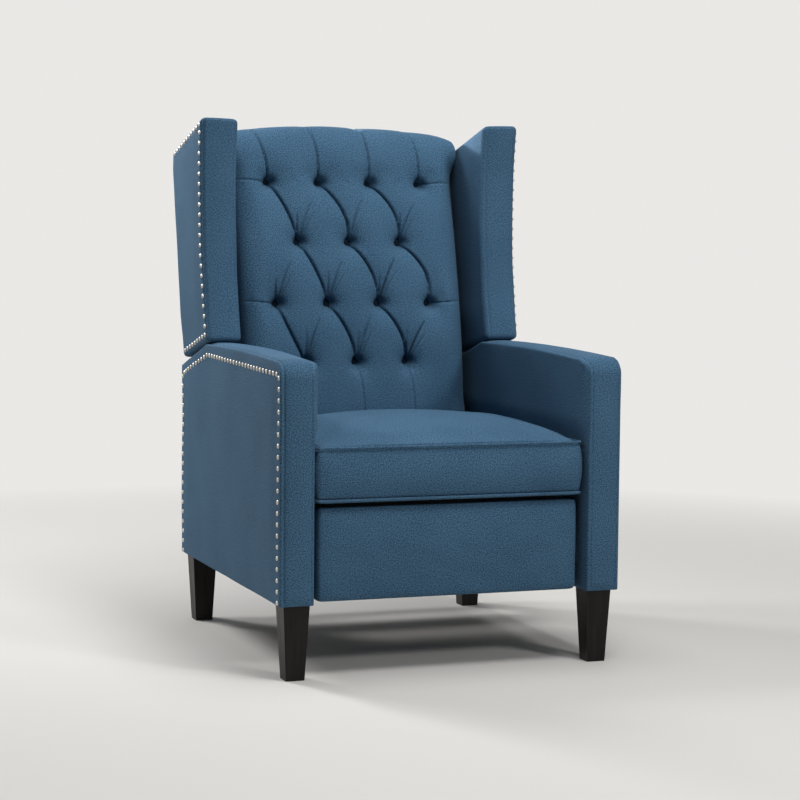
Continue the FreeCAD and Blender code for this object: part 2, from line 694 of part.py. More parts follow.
def cushion_wire(share, fall):
    """A side section of the cushion: it is highest and fullest at the middle of the seat."""
    x = read("cushion_half_width") * share
    drop = read("cushion_side_drop") * fall
    draw = read("cushion_side_draw") * fall
    front = read("cushion_front") + draw
    rear = read("cushion_rear")
    foot = read("cushion_foot")
    welt = read("cushion_welt_height")
    shoulder = read("cushion_shoulder")
    rear_top = read("cushion_rear_height") - drop
    crest = read("cushion_crest_height") - drop
    spread = read("cushion_top_bulge") * (1 - fall / 2)
    front_foot = Vector(x, front, foot)
    front_top = Vector(x, front, welt)
    brow = Vector(x, front + shoulder * 2, crest - spread)
    tail = Vector(x, rear, rear_top)
    rear_foot = Vector(x, rear, foot)
    nose = Vector(x, front + shoulder / 2, welt + (brow.z - welt) * BROW_SHARE)
    belly = Vector(x, front - read("cushion_front_bulge") * (1 - fall / 2), (foot + welt) / 2)
    top = Vector(x, (brow.y + tail.y) / 2, (brow.z + tail.z) / 2 + spread)
    edges = [Part.Arc(front_foot, belly, front_top).toShape(), Part.Arc(front_top, nose, brow).toShape(),
             Part.Arc(brow, top, tail).toShape(), Part.makeLine(tail, rear_foot),
             Part.makeLine(rear_foot, front_foot)]
    return Part.Wire(edges)


def make_seat_cushion():
    cushion = doc.addObject("Part::Feature", "seat_cushion")
    cushion.Shape = Part.makeLoft([cushion_wire(*station) for station in CUSHION_STATION_SHARES], True, False)
    keep(cushion, "seat_cushion")


# Footrest: a padded panel on a board, with a steel bracket at each side

def make_footrest():
    body = doc.addObject("PartDesign::Body", "footrest_pad")
    front = "footrest_front + footrest_bulge"
    outline = [("footrest_rear", "footrest_head"), (front, "footrest_head"),
               (front, "footrest_foot", "footrest_bulge"), ("footrest_rear", "footrest_foot")]
    feature(body, "Pad", sketch_on(body, "YZ_Plane", outline, (), "-footrest_half_width"),
            "2 * footrest_half_width")
    rim = edges_of(body.Shape, lambda b: b.YMax < read("footrest_rear - slip"))
    fillet(body, rim, "footrest_edge_radius")
    recess = sketch_on(body, "YZ_Plane", [
        ("footrest_rear + overrun", "footrest_foot + footrest_board_inset"),
        ("footrest_rear + overrun", "footrest_head - footrest_board_inset"),
        ("footrest_rear - footrest_board_gauge", "footrest_head - footrest_board_inset"),
        ("footrest_rear - footrest_board_gauge", "footrest_foot + footrest_board_inset")],
        (), "footrest_board_inset - footrest_half_width")
    feature(body, "Pocket", recess, "2 * (footrest_half_width - footrest_board_inset)", True)
    keep(body, "footrest_pad")
    board = box("footrest_board",
                ("footrest_board_inset - footrest_half_width + slip", "footrest_half_width - footrest_board_inset - slip"),
                ("footrest_rear - footrest_board_gauge + slip", "footrest_rear"),
                ("footrest_foot + footrest_board_inset + slip", "footrest_head - footrest_board_inset - slip"))
    keep(board, "footrest_board")
    bracket = side_plate("footrest_bracket", [
        ("footrest_rear", "bracket_foot"), ("guide_eye_y + link_half_width", "guide_eye_z - plate_margin"),
        ("guide_eye_y + link_half_width", "guide_eye_z + link_half_width"),
        ("cross_eye_y + link_half_width", "cross_eye_z + link_half_width"),
        ("footrest_rear", "cross_eye_z + link_half_width")], "long_layer", "plate_gauge",
        [("cross_eye_y", "cross_eye_z", "rivet_radius"), ("guide_eye_y", "guide_eye_z", "rivet_radius")])
    flange = sketch_on(bracket, "YZ_Plane", [
        ("footrest_rear", "bracket_foot"), ("footrest_rear + plate_gauge", "bracket_foot"),
        ("footrest_rear + plate_gauge", "cross_eye_z + link_half_width"),
        ("footrest_rear", "cross_eye_z + link_half_width")], (), "long_layer - bracket_flange")
    feature(bracket, "Pad", flange, "bracket_flange + plate_gauge")
    pair(bracket, "footrest_bracket")


# Back: a leaning timber frame, webbing, the tufted cushion, its buttons and the wings

def lean(obj, x, y, z):
    """Stand a piece on the leaning rear line of the back."""
    obj.Placement.Rotation = FreeCAD.Rotation(Vector(1, 0, 0), -read("back_lean"))
    obj.setExpression(".Placement.Rotation.Angle", bind("back_lean"))
    obj.Placement.Rotation.Axis = Vector(-1, 0, 0)
    return move(obj, x, y, z)


def leaning_box(name, x, depth, up):
    """A box measured forwards from the rear line and up along it."""
    obj = part("Part::Box", name, Length=f"({x[1]}) - ({x[0]})", Width=f"({depth[1]}) - ({depth[0]})",
               Height=f"({up[1]}) - ({up[0]})")
    y = f"rear_line_y - ({depth[1]}) * cos(back_lean) + ({up[0]}) * sin(back_lean)"
    z = f"back_foot + ({depth[1]}) * sin(back_lean) + ({up[0]}) * cos(back_lean)"
    return lean(obj, x[0], y, z)


def make_back_frame():
    deep = ("back_frame_skin", "back_frame_skin + back_timber")
    outer = "wing_block_in"
    inner = f"{outer} - back_timber_width"
    clear = "2 * plate_margin"
    stile = leaning_box("back_stile", (inner, outer), deep, (clear, "back_frame_length"))
    group("back_stiles", [stile], True)
    rails = []
    within = (f"-({inner})", inner)
    for low in (clear, "back_frame_length / 2", "back_frame_length - back_rail_width"):
        rails.append(leaning_box("back_rail", within, deep, (low, f"{low} + back_rail_width")))
    group("back_rails", rails)
    straps = []
    count = int(read("back_straps"))
    front = "back_frame_skin + back_timber"
    room = f"(back_frame_length - {clear} - strap_width)"
    for index in range(count):
        low = f"{clear} + {room} * {index} / {count - 1}"
        straps.append(leaning_box("back_strap", (f"-({outer})", outer), (front, f"{front} + strap_gauge"),
                                  (low, f"{low} + strap_width")))
    group("back_webbing", straps)
    deep = ("back_panel_set", "back_panel_set + back_panel_gauge")
    notch = "(back_panel_notch - back_foot) / cos(back_lean)"
    upper = leaning_box("back_panel_upper", ("-back_half_width", "back_half_width"), deep,
                        (notch, "(back_head - back_foot) / cos(back_lean)"))
    lower = leaning_box("back_panel_lower", ("layer_gap - seat_half_width", "seat_half_width - layer_gap"), deep,
                        ("(back_panel_foot - back_foot) / cos(back_lean)", notch))
    keep(part("Part::Fuse", "back_outer_panel", Base=upper, Tool=lower), "back_outer_panel")
    bracket = side_plate("back_bracket", [
        ("lever_y - plate_margin", "lever_z - plate_margin"), ("lever_y + plate_margin", "lever_z - plate_margin"),
        ("hinge_y + plate_margin", "hinge_z"), ("bracket_notch_y", "back_panel_notch"),
        ("bracket_top_y", "bracket_top_z"), ("bracket_top_y - back_timber", "bracket_top_z"),
        ("hinge_y - plate_margin", "hinge_z + plate_margin")], "long_layer", "plate_gauge",
        [("hinge_y", "hinge_z", "rivet_radius + rivet_slip"), ("lever_y", "lever_z", "rivet_radius")])
    pair(bracket, "back_bracket")


def tuft_rows():
    """Height and depth of the tuft line at the seat, the button rows and the start of the roll."""
    rows = [(read("back_cushion_foot"), read("tuft_foot_y"))]
    for word in ("four", "three", "two", "one"):
        rows.append((read(f"tuft_row_{word}_height"), read(f"tuft_row_{word}_y")))
    high, low = rows[-1], rows[-2]
    start = read("back_crest_height - 2 * back_roll")
    rows.append((start, high[1] + (start - high[0]) * (high[1] - low[1]) / (high[0] - low[0])))
    return rows


def tuft_y(z):
    rows = tuft_rows()
    for low, high in zip(rows, rows[1:]):
        if z <= high[0] or high is rows[-1]:
            share = (z - low[0]) / (high[0] - low[0])
            return low[1] + share * (high[1] - low[1])


# Sections between two button rows, as shares of the way
ROW_SHARES = (0.0, 0.3, 0.65, 1.0)

# Rise of a tuft's narrow end, as a share of its width
TIP_RISE_SHARE = 0.1

# How high the rolled top stands half way to the rear
ROLL_HEIGHT_SHARE = 0.86


def roll_line(z):
    """The tuft line at a height, rolled back over the top edge, and the share of the crown left."""
    start, line = tuft_rows()[-1]
    if z <= start:
        return tuft_y(z), 1.0
    way = (z - start) / (read("back_crest_height + back_roll") - start)
    left = math.sqrt(1 - way * way)
    return line + read("back_crest_depth") * (1 - left), left


def section(z, edges, rises):
    """A level section of the cushion: one arc for each tuft and a flat back."""
    line, left = roll_line(z)
    spots = [Vector(x, line, z) for x in edges]
    chain = []
    for start, end, rise in zip(spots, spots[1:], rises):
        crown = Vector((start.x + end.x) / 2, line - rise * left, z)
        chain.append(Part.Arc(start, crown, end).toShape())
    back = back_face_y(z)
    corners = [spots[-1], Vector(spots[-1].x, back, z), Vector(spots[0].x, back, z), spots[0]]
    chain += [Part.makeLine(a, b) for a, b in zip(corners, corners[1:])]
    return Part.Wire(chain)


def swell(share, start, end):
    """The rise of a tuft part of the way along it, round at its full end."""
    if end >= start:
        return start + (end - start) * math.sin(share * math.pi / 2)
    return end + (start - end) * math.cos(share * math.pi / 2)


def band(low, high):
    """The stretch between two rows, each (z, edges, rises), as a loft through its sections."""
    wires = []
    for share in ROW_SHARES:
        z = low[0] + (high[0] - low[0]) * share
        edges = [a + (b - a) * share for a, b in zip(low[1], high[1])]
        rises = [swell(share, a, b) for a, b in zip(low[2], high[2])]
        wires.append(section(z, edges, rises))
    return Part.makeLoft(wires, True, True)


def both_ways(values):
    """The values of the left half, outermost last, repeated for the right half."""
    return [-value for value in reversed(values)] + values


def make_back_cushion():
    foot, four, three, two, one, start = [row[0] for row in tuft_rows()]
    step = read("tuft_spacing")
    outer = read("back_half_width")
    crown = read("tuft_crown")
    wide, narrow = read("tuft_tip"), read("pleat_width")
    rise = wide * TIP_RISE_SHARE
    # the edges of the tufts where the row has four buttons, and where it has three
    four_edges = both_ways([(step - wide) / 2, (step + wide) / 2, 1.5 * step, outer])
    three_edges = both_ways([wide / 2, step - wide / 2, step + wide / 2, outer])
    foot_edges = both_ways([narrow / 2, step - narrow / 2, step + narrow / 2, outer])
    crest_edges = both_ways([(step - narrow) / 2, (step + narrow) / 2, 1.5 * step, outer])
    four_rises = [rise, crown, rise, crown, rise, crown, rise]
    three_rises = [crown, rise, crown, rise, crown, rise, crown]
    crest_rises = [crown, crown, rise, crown, rise, crown, crown]
    rows = [(foot, foot_edges, three_rises), (four, three_edges, three_rises), (three, four_edges, four_rises),
            (two, three_edges, three_rises), (one, four_edges, four_rises), (start, crest_edges, crest_rises),
            (read("back_crest_height"), crest_edges, crest_rises)]
    bands = [band(below, above) for below, above in zip(rows, rows[1:])]
    piece = doc.addObject("Part::Feature", "back_cushion")
    piece.Shape = bands[0].multiFuse(bands[1:] + [rear_roll()]).cut(arch_cutter())
    keep(piece, "back_cushion")
    buttons = doc.addObject("Part::Feature", "back_buttons")
    buttons.Shape = Part.makeCompound([button(x, row) for x, row in button_spots()])
    keep(buttons, "back_buttons")


def rear_line(z):
    """The leaning rear plane of the back, less the setting of its panel."""
    return read("rear_line_y - back_panel_set") + (z - read("back_foot")) * math.tan(math.radians(read("back_lean")))


def rear_roll():
    """What rolls over the top rail down to the outer panel."""
    half = read("back_half_width")
    low = read("back_head + (back_panel_set + back_panel_gauge) * sin(back_lean) + slip")
    high = read("back_roll_rear_height")
    crest = read("back_crest_height")
    inside = back_face_y(low) - read("back_roll")
    foot = Vector(-half, rear_line(low), low)
    rear = Vector(-half, rear_line(high), high)
    top = Vector(-half, inside, crest)
    middle = Vector(-half, (rear.y + top.y) / 2, high + (crest - high) * ROLL_HEIGHT_SHARE)
    start = Vector(-half, inside, low)
    edges = [Part.makeLine(start, foot), Part.makeLine(foot, rear), Part.Arc(rear, middle, top).toShape(),
             Part.makeLine(top, start)]
    return Part.Face(Part.Wire(edges)).extrude(Vector(2 * half, 0, 0))


def back_face_y(z):
    """The plane of the webbing, where the cushion lies against it."""
    depth = read("back_frame_skin + back_timber + strap_gauge + slip")
    lean_angle = math.radians(read("back_lean"))
    return read("rear_line_y") + (z - read("back_foot")) * math.tan(lean_angle) - depth / math.cos(lean_angle)


def outline_face(arc, corners):
    """A face bounded by an arc and by straight lines through the corners back to its start."""
    lines = [Part.makeLine(a, b) for a, b in zip(corners, corners[1:])]
    return Part.Face(Part.Wire([arc.toShape()] + lines))


def arch_cutter():
    """What is trimmed above the crowned top edge, seen from the front."""
    half = read("back_half_width") + read("slip")
    crest = read("back_crest_height")
    side = crest - read("back_crest_fall")
    high = crest + read("overrun")
    near_y = read("tuft_foot_y") - read("overrun")
    left, right = Vector(-half, near_y, side), Vector(half, near_y, side)
    corners = [right, Vector(half, near_y, high), Vector(-half, near_y, high), left]
    face = outline_face(Part.Arc(left, Vector(0, near_y, crest), right), corners)
    return face.extrude(Vector(0, read("chair_depth"), 0))


def button_spots():
    """The rows have four and three buttons in turn."""
    spots = []
    for word, places_x in (("one", (-1.5, -0.5, 0.5, 1.5)), ("two", (-1, 0, 1)),
                           ("three", (-1.5, -0.5, 0.5, 1.5)), ("four", (-1, 0, 1))):
        for place in places_x:
            spots.append((place * read("tuft_spacing"), read(f"tuft_row_{word}_height")))
    return spots


# Facets round a covered button
BUTTON_SIDES = 14


def tuft_slope(z):
    reach = read("button_radius")
    return Vector(0, tuft_y(z + reach) - tuft_y(z - reach), 2 * reach).normalize()


def many_sided(radius, low, high):
    """An upright prism with a button's sides between two heights."""
    turns = [2 * math.pi * side / BUTTON_SIDES for side in range(BUTTON_SIDES + 1)]
    rim = Part.makePolygon([Vector(radius * math.cos(turn), radius * math.sin(turn), low) for turn in turns])
    return Part.Face(Part.Wire(rim.Edges)).extrude(Vector(0, 0, high - low))


def button(x, z):
    """A covered button on its stem."""
    up = tuft_slope(z)
    out = Vector(0, -up.z, up.y)
    radius, dome = read("button_radius"), read("button_dome")
    lift, stem = read("button_lift"), read("button_stem_radius")
    seat = read(f"tuft_tip * {TIP_RISE_SHARE} + slip") - lift
    solid = many_sided(radius, 0, dome).fuse(many_sided(stem, seat, 0))
    foot = Vector(x, tuft_y(z), z) + out * lift
    solid.Placement = FreeCAD.Placement(foot, FreeCAD.Rotation(Vector(0, 0, 1), out))
    return solid


def wing_outline(inset):
    """The side of a wing, drawn in all round by an inset and open at the rear for it."""
    step = f"({inset})"
    return [
        (f"wing_rear_foot_y - {step} * tan(back_lean)", f"wing_rear_foot_z + {step}"),
        (f"chair_rear - {step} * tan(back_lean)", f"wing_rear_head_z - {step}"),
        (f"wing_front_head_y + {step}", f"wing_front_head_z - {step}"),
        (f"wing_front_foot_y + {step}", f"wing_front_foot_z + {step}", "-wing_waist")]


def make_wing():
    side = side_plate("wing_side", wing_outline("0"), "wing_inner - overrun", "wing_thickness + 2 * overrun")
    front = doc.addObject("PartDesign::Body", "wing_front")
    outline = sketch_on(front, "XZ_Plane", [
        ("wing_inner", "wing_rear_foot_z - overrun"),
        ("wing_outer_foot", "wing_rear_foot_z - overrun"),
        ("wing_outer_foot", "wing_rear_foot_z"), ("wing_outer_head", "wing_front_head_z"),
        ("wing_outer_head", "wing_front_head_z + overrun"),
        ("wing_inner", "wing_front_head_z + overrun")], (), "-chair_depth")
    feature(front, "Pad", outline, "2 * chair_depth")
    block = part("Part::Common", "wing_block", Base=side, Tool=front)
    doc.recompute()
    rounded = part("Part::Chamfer", "wing_rounded", Base=block)
    radius = read("wing_edge_radius")
    names = edges_of(block.Shape, lambda b: not on_rear_line(b))
    rounded.Edges = [(int(name[4:]), radius, radius) for name in names]
    doc.recompute()
    slot = side_plate("wing_slot", board_outline("slip", "overrun"), "wing_board_in - slip",
                      "wing_board_gauge + 2 * slip")
    pair(part("Part::Cut", "wing_cover", Base=rounded, Tool=slot), "wing_cover")
    board = side_plate("wing_board", board_outline("0", "0"), "wing_board_in", "wing_board_gauge")
    group("wing_boards", [board], True)


def on_rear_line(bounds):
    """Whether an edge lies in the leaning rear plane of the wing."""
    slope = math.tan(math.radians(read("back_lean")))
    for z, y in ((bounds.ZMin, bounds.YMin), (bounds.ZMax, bounds.YMax)):
        if abs(read("wing_rear_foot_y") + (z - read("wing_rear_foot_z")) * slope - y) > read("slip"):
            return False
    return True


def board_outline(grow, past):
    """The board in a wing, which reaches the rear face, or past it for the slot."""
    return [
        (f"wing_rear_foot_y + ({past}) + wing_board_inset * tan(back_lean)",
         f"wing_rear_foot_z + wing_board_inset - ({grow})"),
        (f"chair_rear + ({past}) - 2 * wing_board_inset * tan(back_lean)",
         f"wing_rear_head_z - 2 * wing_board_inset + ({grow})"),
        (f"wing_front_head_y + 2 * wing_board_inset - ({grow})",
         f"wing_rear_head_z - 2 * wing_board_inset + ({grow})"),
        (f"wing_front_head_y + 2 * wing_board_inset - ({grow})",
         f"wing_rear_foot_z + wing_board_inset - ({grow})")]


def make_wing_blocks():
    blocks = []
    for low in ("wing_block_low_z", "wing_block_high_z"):
        up = f"(({low}) - back_foot) / cos(back_lean)"
        blocks.append(leaning_box("wing_block", ("wing_block_in", "wing_inner - slip"),
                                  ("back_frame_skin", "back_frame_skin + back_timber"),
                                  (up, f"{up} + wing_block_height")))
    group("wing_blocks", blocks, True)


def check_and_export():
    doc.recompute()
    for obj in doc.Objects:
        if "Invalid" in obj.State or "Error" in obj.State:
            raise RuntimeError(f"{obj.Name} did not build: {obj.State}")
    os.makedirs("parts", exist_ok=True)
    for node in nodes:
        shape = node.Shape
        if shape.isNull() or not shape.isValid() or not shape.Solids:
            raise RuntimeError(f"{node.Label} has no valid solid")
        shape.exportStep(os.path.join("parts", node.Label + ".step"))
        print(f"{node.Label:24s} solids {len(shape.Solids):3d}  volume {shape.Volume / 1000:9.1f} cm3")
    print(len(nodes), "nodes")


make_arm()
make_arm_frame()
make_legs()
make_base()
make_links()
make_rivets()
make_seat_frame()
make_seat_cushion()
make_footrest()
make_back_frame()
make_back_cushion()
make_wing()
make_wing_blocks()
check_and_export()
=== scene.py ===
import math

import bmesh
import bpy
import numpy as np
from bpy.props import FloatProperty, FloatVectorProperty, PointerProperty
from mathutils import Matrix, Vector
from mathutils.bvhtree import BVHTree


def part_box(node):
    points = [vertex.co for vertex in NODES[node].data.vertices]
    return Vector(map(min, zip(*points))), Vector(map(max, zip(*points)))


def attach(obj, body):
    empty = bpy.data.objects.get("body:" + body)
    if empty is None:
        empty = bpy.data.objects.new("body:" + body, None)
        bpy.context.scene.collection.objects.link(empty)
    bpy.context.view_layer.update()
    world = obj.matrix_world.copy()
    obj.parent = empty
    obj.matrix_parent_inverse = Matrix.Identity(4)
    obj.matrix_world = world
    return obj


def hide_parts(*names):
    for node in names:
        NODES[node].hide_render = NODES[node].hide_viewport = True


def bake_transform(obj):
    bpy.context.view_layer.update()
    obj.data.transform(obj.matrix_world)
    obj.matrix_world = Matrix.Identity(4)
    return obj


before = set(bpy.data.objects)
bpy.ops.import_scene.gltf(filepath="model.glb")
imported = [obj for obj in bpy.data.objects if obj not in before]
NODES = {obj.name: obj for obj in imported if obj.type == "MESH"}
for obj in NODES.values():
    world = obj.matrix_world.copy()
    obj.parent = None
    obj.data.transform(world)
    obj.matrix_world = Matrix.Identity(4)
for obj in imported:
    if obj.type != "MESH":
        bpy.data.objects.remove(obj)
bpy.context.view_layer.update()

bl_info = {
    "name": "Wingback Recliner",
    "version": (1, 0, 0),
    "blender": (4, 5, 0),
    "location": "3D View > Sidebar > Recliner",
    "description": "Dresses a push-back wingback recliner in linen, nail trim and deep buttoning",
    "category": "Object",
}


def span(node, axis):
    """Lowest and highest place of a CAD node along an axis, in metres."""
    low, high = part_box(node)
    return low["xyz".index(axis)], high["xyz".index(axis)]


ARM_INNER, ARM_OUTER = span("arm_cover_left", "x")
ARM_FRONT, ARM_REAR = span("arm_cover_left", "y")
ARM_FOOT = span("arm_cover_left", "z")[0]
PAD_FRONT, PAD_REAR = span("footrest_pad", "y")
PAD_FOOT, PAD_HEAD = span("footrest_pad", "z")
BACK_LEAN = math.radians(9.9)
CLOTH_FRAMES = 20
# pale and dark threads of the black lining and webbing, each with its alpha
BLACK_LINING = ((0.05, 0.05, 0.05, 1), (0.012, 0.012, 0.012, 1))


# Sizes and colours that a user may change

class FabricSettings(bpy.types.PropertyGroup):
    """The cloth that covers the chair."""
    light_thread: FloatVectorProperty(
        name="Light thread", description="Colour of the paler threads of the linen",
        default=(0.082, 0.172, 0.272), min=0.0, max=1.0, subtype="COLOR")
    dark_thread: FloatVectorProperty(
        name="Dark thread", description="Colour of the darker threads of the linen",
        default=(0.014, 0.044, 0.084), min=0.0, max=1.0, subtype="COLOR")
    thread_pitch: FloatProperty(
        name="Thread pitch", description="Distance from one thread to the next",
        default=0.0016, min=0.0005, max=0.006, precision=4, unit="LENGTH")
    heather: FloatProperty(
        name="Heather", description="How much the threads differ from one another",
        default=0.8, min=0.0, max=1.0, subtype="FACTOR")
    voxel: FloatProperty(
        name="Cloth cell", description="Cell size of the mesh that the padding swells",
        default=0.006, min=0.003, max=0.02, precision=4, unit="LENGTH")


class TrimSettings(bpy.types.PropertyGroup):
    """Decorative nails, welts and buttons."""
    nail_radius: FloatProperty(
        name="Nail radius", description="Half the width of a nail head",
        default=0.0047, min=0.002, max=0.012, precision=4, unit="LENGTH")
    nail_rise: FloatProperty(
        name="Nail rise", description="How far a nail head stands out of the cloth",
        default=0.0025, min=0.001, max=0.006, precision=4, unit="LENGTH")
    nail_pitch: FloatProperty(
        name="Nail pitch", description="Distance from one nail to the next",
        default=0.0212, min=0.01, max=0.06, precision=4, unit="LENGTH")
    nail_colour: FloatVectorProperty(
        name="Nail colour", description="Colour of the pale metal nails",
        default=(0.72, 0.68, 0.61), min=0.0, max=1.0, subtype="COLOR")
    welt_radius: FloatProperty(
        name="Welt radius", description="Half the thickness of the seat's lower welt; the upper is finer",
        default=0.0032, min=0.001, max=0.01, precision=4, unit="LENGTH")
    button_radius: FloatProperty(
        name="Button radius", description="Half the width of a covered button",
        default=0.0102, min=0.006, max=0.02, precision=4, unit="LENGTH")


class LegSettings(bpy.types.PropertyGroup):
    """The finish of the wooden legs."""
    stain: FloatVectorProperty(
        name="Stain", description="Colour of the stained wood",
        default=(0.004, 0.0033, 0.0032), min=0.0, max=1.0, subtype="COLOR")
    grain: FloatVectorProperty(
        name="Grain", description="Colour of the wood's open grain",
        default=(0.010, 0.0074, 0.0068), min=0.0, max=1.0, subtype="COLOR")


class StudioSettings(bpy.types.PropertyGroup):
    """Floor, light and camera."""
    floor_colour: FloatVectorProperty(
        name="Floor colour", description="Colour of the floor round the chair",
        default=(0.66, 0.64, 0.61), min=0.0, max=1.0, subtype="COLOR")
    ground_colour: FloatVectorProperty(
        name="Backdrop colour", description="Colour of the even ground behind the chair",
        default=(0.82, 0.81, 0.79), min=0.0, max=1.0, subtype="COLOR")
    light_level: FloatProperty(
        name="Light level", description="Level of the studio lamps",
        default=1.0, min=0.1, max=3.0, subtype="FACTOR")


GROUPS = {"recliner_fabric": FabricSettings, "recliner_trim": TrimSettings,
          "recliner_legs": LegSettings, "recliner_studio": StudioSettings}


def fabric():
    return bpy.context.scene.recliner_fabric


def trim():
    return bpy.context.scene.recliner_trim


# Node trees

class Wiring:
    """Adds nodes to a node tree and joins them."""

    def __init__(self, tree):
        self.tree = tree

    def node(self, kind, inputs=None, **values):
        made = self.tree.nodes.new(kind)
        for key, value in values.items():
            setattr(made, key, value)
        for key, value in (inputs or {}).items():
            self.feed(made.inputs[key], value)
        return made

    def feed(self, socket, value):
        """Link a socket, or set its plain value."""
        if isinstance(value, bpy.types.NodeSocket):
            self.tree.links.new(value, socket)
        else:
            socket.default_value = value

    def math(self, operation, first, second=0.0, third=0.0, clamp=False):
        made = self.node("ShaderNodeMath", {0: first, 1: second, 2: third}, operation=operation)
        made.use_clamp = clamp
        return made.outputs[0]

    def noise(self, vector, scale, detail=2.0, roughness=0.5):
        made = self.node("ShaderNodeTexNoise", {"Vector": vector, "Scale": scale, "Detail": detail,
                                                "Roughness": roughness})
        return made.outputs["Fac"]

    def stretch(self, vector, scale):
        made = self.node("ShaderNodeVectorMath", {0: vector, 1: scale}, operation="MULTIPLY")
        return made.outputs[0]

    def mix(self, share, first, second):
        made = self.node("ShaderNodeMix", data_type="RGBA")
        self.feed(made.inputs[0], share)
        self.feed(made.inputs[6], first)
        self.feed(made.inputs[7], second)
        return made.outputs[2]

    def ramp(self, value, low, high):
        """Map a value from low..high to 0..1."""
        made = self.node("ShaderNodeMapRange", {0: value, 1: low, 2: high})
        return made.outputs[0]


def new_group(name, inputs):
    """A shader node group with its inputs and the three results of a finish, and wiring for its inside."""
    tree = bpy.data.node_groups.new(name, "ShaderNodeTree")
    for label, kind, default in inputs:
        tree.interface.new_socket(label, in_out="INPUT", socket_type=kind).default_value = default
    for label, kind in (("Colour", "NodeSocketColor"), ("Roughness", "NodeSocketFloat"),
                        ("Height", "NodeSocketFloat")):
        tree.interface.new_socket(label, in_out="OUTPUT", socket_type=kind)
    wires = Wiring(tree)
    return wires, wires.node("NodeGroupInput"), wires.node("NodeGroupOutput")


def linen_weave():
    """Plain-woven linen: slubbed threads of two tones, laid along the two flat directions of a panel."""
    name = "linen_weave"
    if name in bpy.data.node_groups:
        return bpy.data.node_groups[name]
    wires, given, put = new_group(name, [
        ("Light", "NodeSocketColor", (0.1, 0.2, 0.3, 1)), ("Dark", "NodeSocketColor", (0.02, 0.05, 0.1, 1)),
        ("Pitch", "NodeSocketFloat", 0.0016), ("Heather", "NodeSocketFloat", 0.5)])
    spot = wires.node("ShaderNodeTexCoord")
    place = wires.node("ShaderNodeSeparateXYZ", {0: spot.outputs["Object"]})
    facing = wires.node("ShaderNodeSeparateXYZ", {0: spot.outputs["Normal"]})
    across, along, up = [wires.math("ABSOLUTE", facing.outputs[i]) for i in range(3)]
    side_on = wires.math("GREATER_THAN", across, wires.math("MAXIMUM", along, up))
    flat_on = wires.math("GREATER_THAN", up, wires.math("MAXIMUM", across, along))

    def pick(share, base, other):
        step = wires.math("SUBTRACT", other, base)
        return wires.math("MULTIPLY_ADD", step, share, base)

    warp_place = pick(side_on, place.outputs[0], place.outputs[1])
    weft_place = pick(flat_on, place.outputs[2], place.outputs[1])
    flat = wires.node("ShaderNodeCombineXYZ", {0: warp_place, 1: weft_place}).outputs[0]
    warp = wires.noise(wires.stretch(flat, (1.0, 0.28, 1.0)), 820.0, 1.0)
    weft = wires.noise(wires.stretch(flat, (0.28, 1.0, 1.0)), 760.0, 1.0)
    fleck = wires.noise(flat, 430.0, 3.0, 0.85)
    cloud = wires.noise(spot.outputs["Object"], 9.0, 2.0)
    # over and under: which thread is on top in each cell
    turn = wires.math("DIVIDE", math.pi, given.outputs["Pitch"])
    warp_wave = wires.math("SINE", wires.math("MULTIPLY", warp_place, turn))
    weft_wave = wires.math("SINE", wires.math("MULTIPLY", weft_place, turn))
    over = wires.math("MULTIPLY_ADD", wires.math("MULTIPLY", warp_wave, weft_wave), 0.5, 0.5)
    threads = pick(over, wires.ramp(warp, 0.3, 0.7), wires.ramp(weft, 0.3, 0.7))
    part = wires.math("MULTIPLY", threads, 0.3)
    mottle = wires.math("MULTIPLY_ADD", wires.ramp(fleck, 0.38, 0.62), 0.7, part)
    spread = wires.math("SUBTRACT", mottle, 0.5)
    toned = wires.math("MULTIPLY_ADD", spread, wires.math("MULTIPLY", given.outputs["Heather"], 2.0), 0.5)
    shaded = wires.math("MULTIPLY_ADD", wires.math("SUBTRACT", cloud, 0.5), 0.3, toned, clamp=True)
    wires.feed(put.inputs["Colour"], wires.mix(shaded, given.outputs["Dark"], given.outputs["Light"]))
    wires.feed(put.inputs["Roughness"], wires.math("MULTIPLY_ADD", threads, -0.12, 0.92))
    knots = wires.math("MULTIPLY", mottle, 0.65)
    wires.feed(put.inputs["Height"], wires.math("MULTIPLY_ADD", over, 0.35, knots))
    return wires.tree


def wood_grain():
    """Straight grain along the height of a piece, with pores and broad bands."""
    name = "wood_grain"
    if name in bpy.data.node_groups:
        return bpy.data.node_groups[name]
    wires, given, put = new_group(name, [
        ("Ground", "NodeSocketColor", (0.3, 0.2, 0.1, 1)), ("Vein", "NodeSocketColor", (0.2, 0.1, 0.05, 1)),
        ("Run", "NodeSocketVector", (1.0, 1.0, 0.06)), ("Scale", "NodeSocketFloat", 60.0)])
    spot = wires.node("ShaderNodeTexCoord").outputs["Object"]
    run = wires.stretch(spot, given.outputs["Run"])
    band = wires.noise(run, given.outputs["Scale"], 4.0, 0.6)
    pores = wires.noise(run, wires.math("MULTIPLY", given.outputs["Scale"], 9.0), 1.0)
    vein = wires.math("MULTIPLY_ADD", wires.ramp(pores, 0.5, 0.75), 0.4, wires.ramp(band, 0.42, 0.62),
                      clamp=True)
    wires.feed(put.inputs["Colour"], wires.mix(vein, given.outputs["Ground"], given.outputs["Vein"]))
    wires.feed(put.inputs["Roughness"], wires.math("MULTIPLY_ADD", vein, 0.18, 0.34))
    wires.feed(put.inputs["Height"], wires.math("SUBTRACT", 1.0, vein))
    return wires.tree


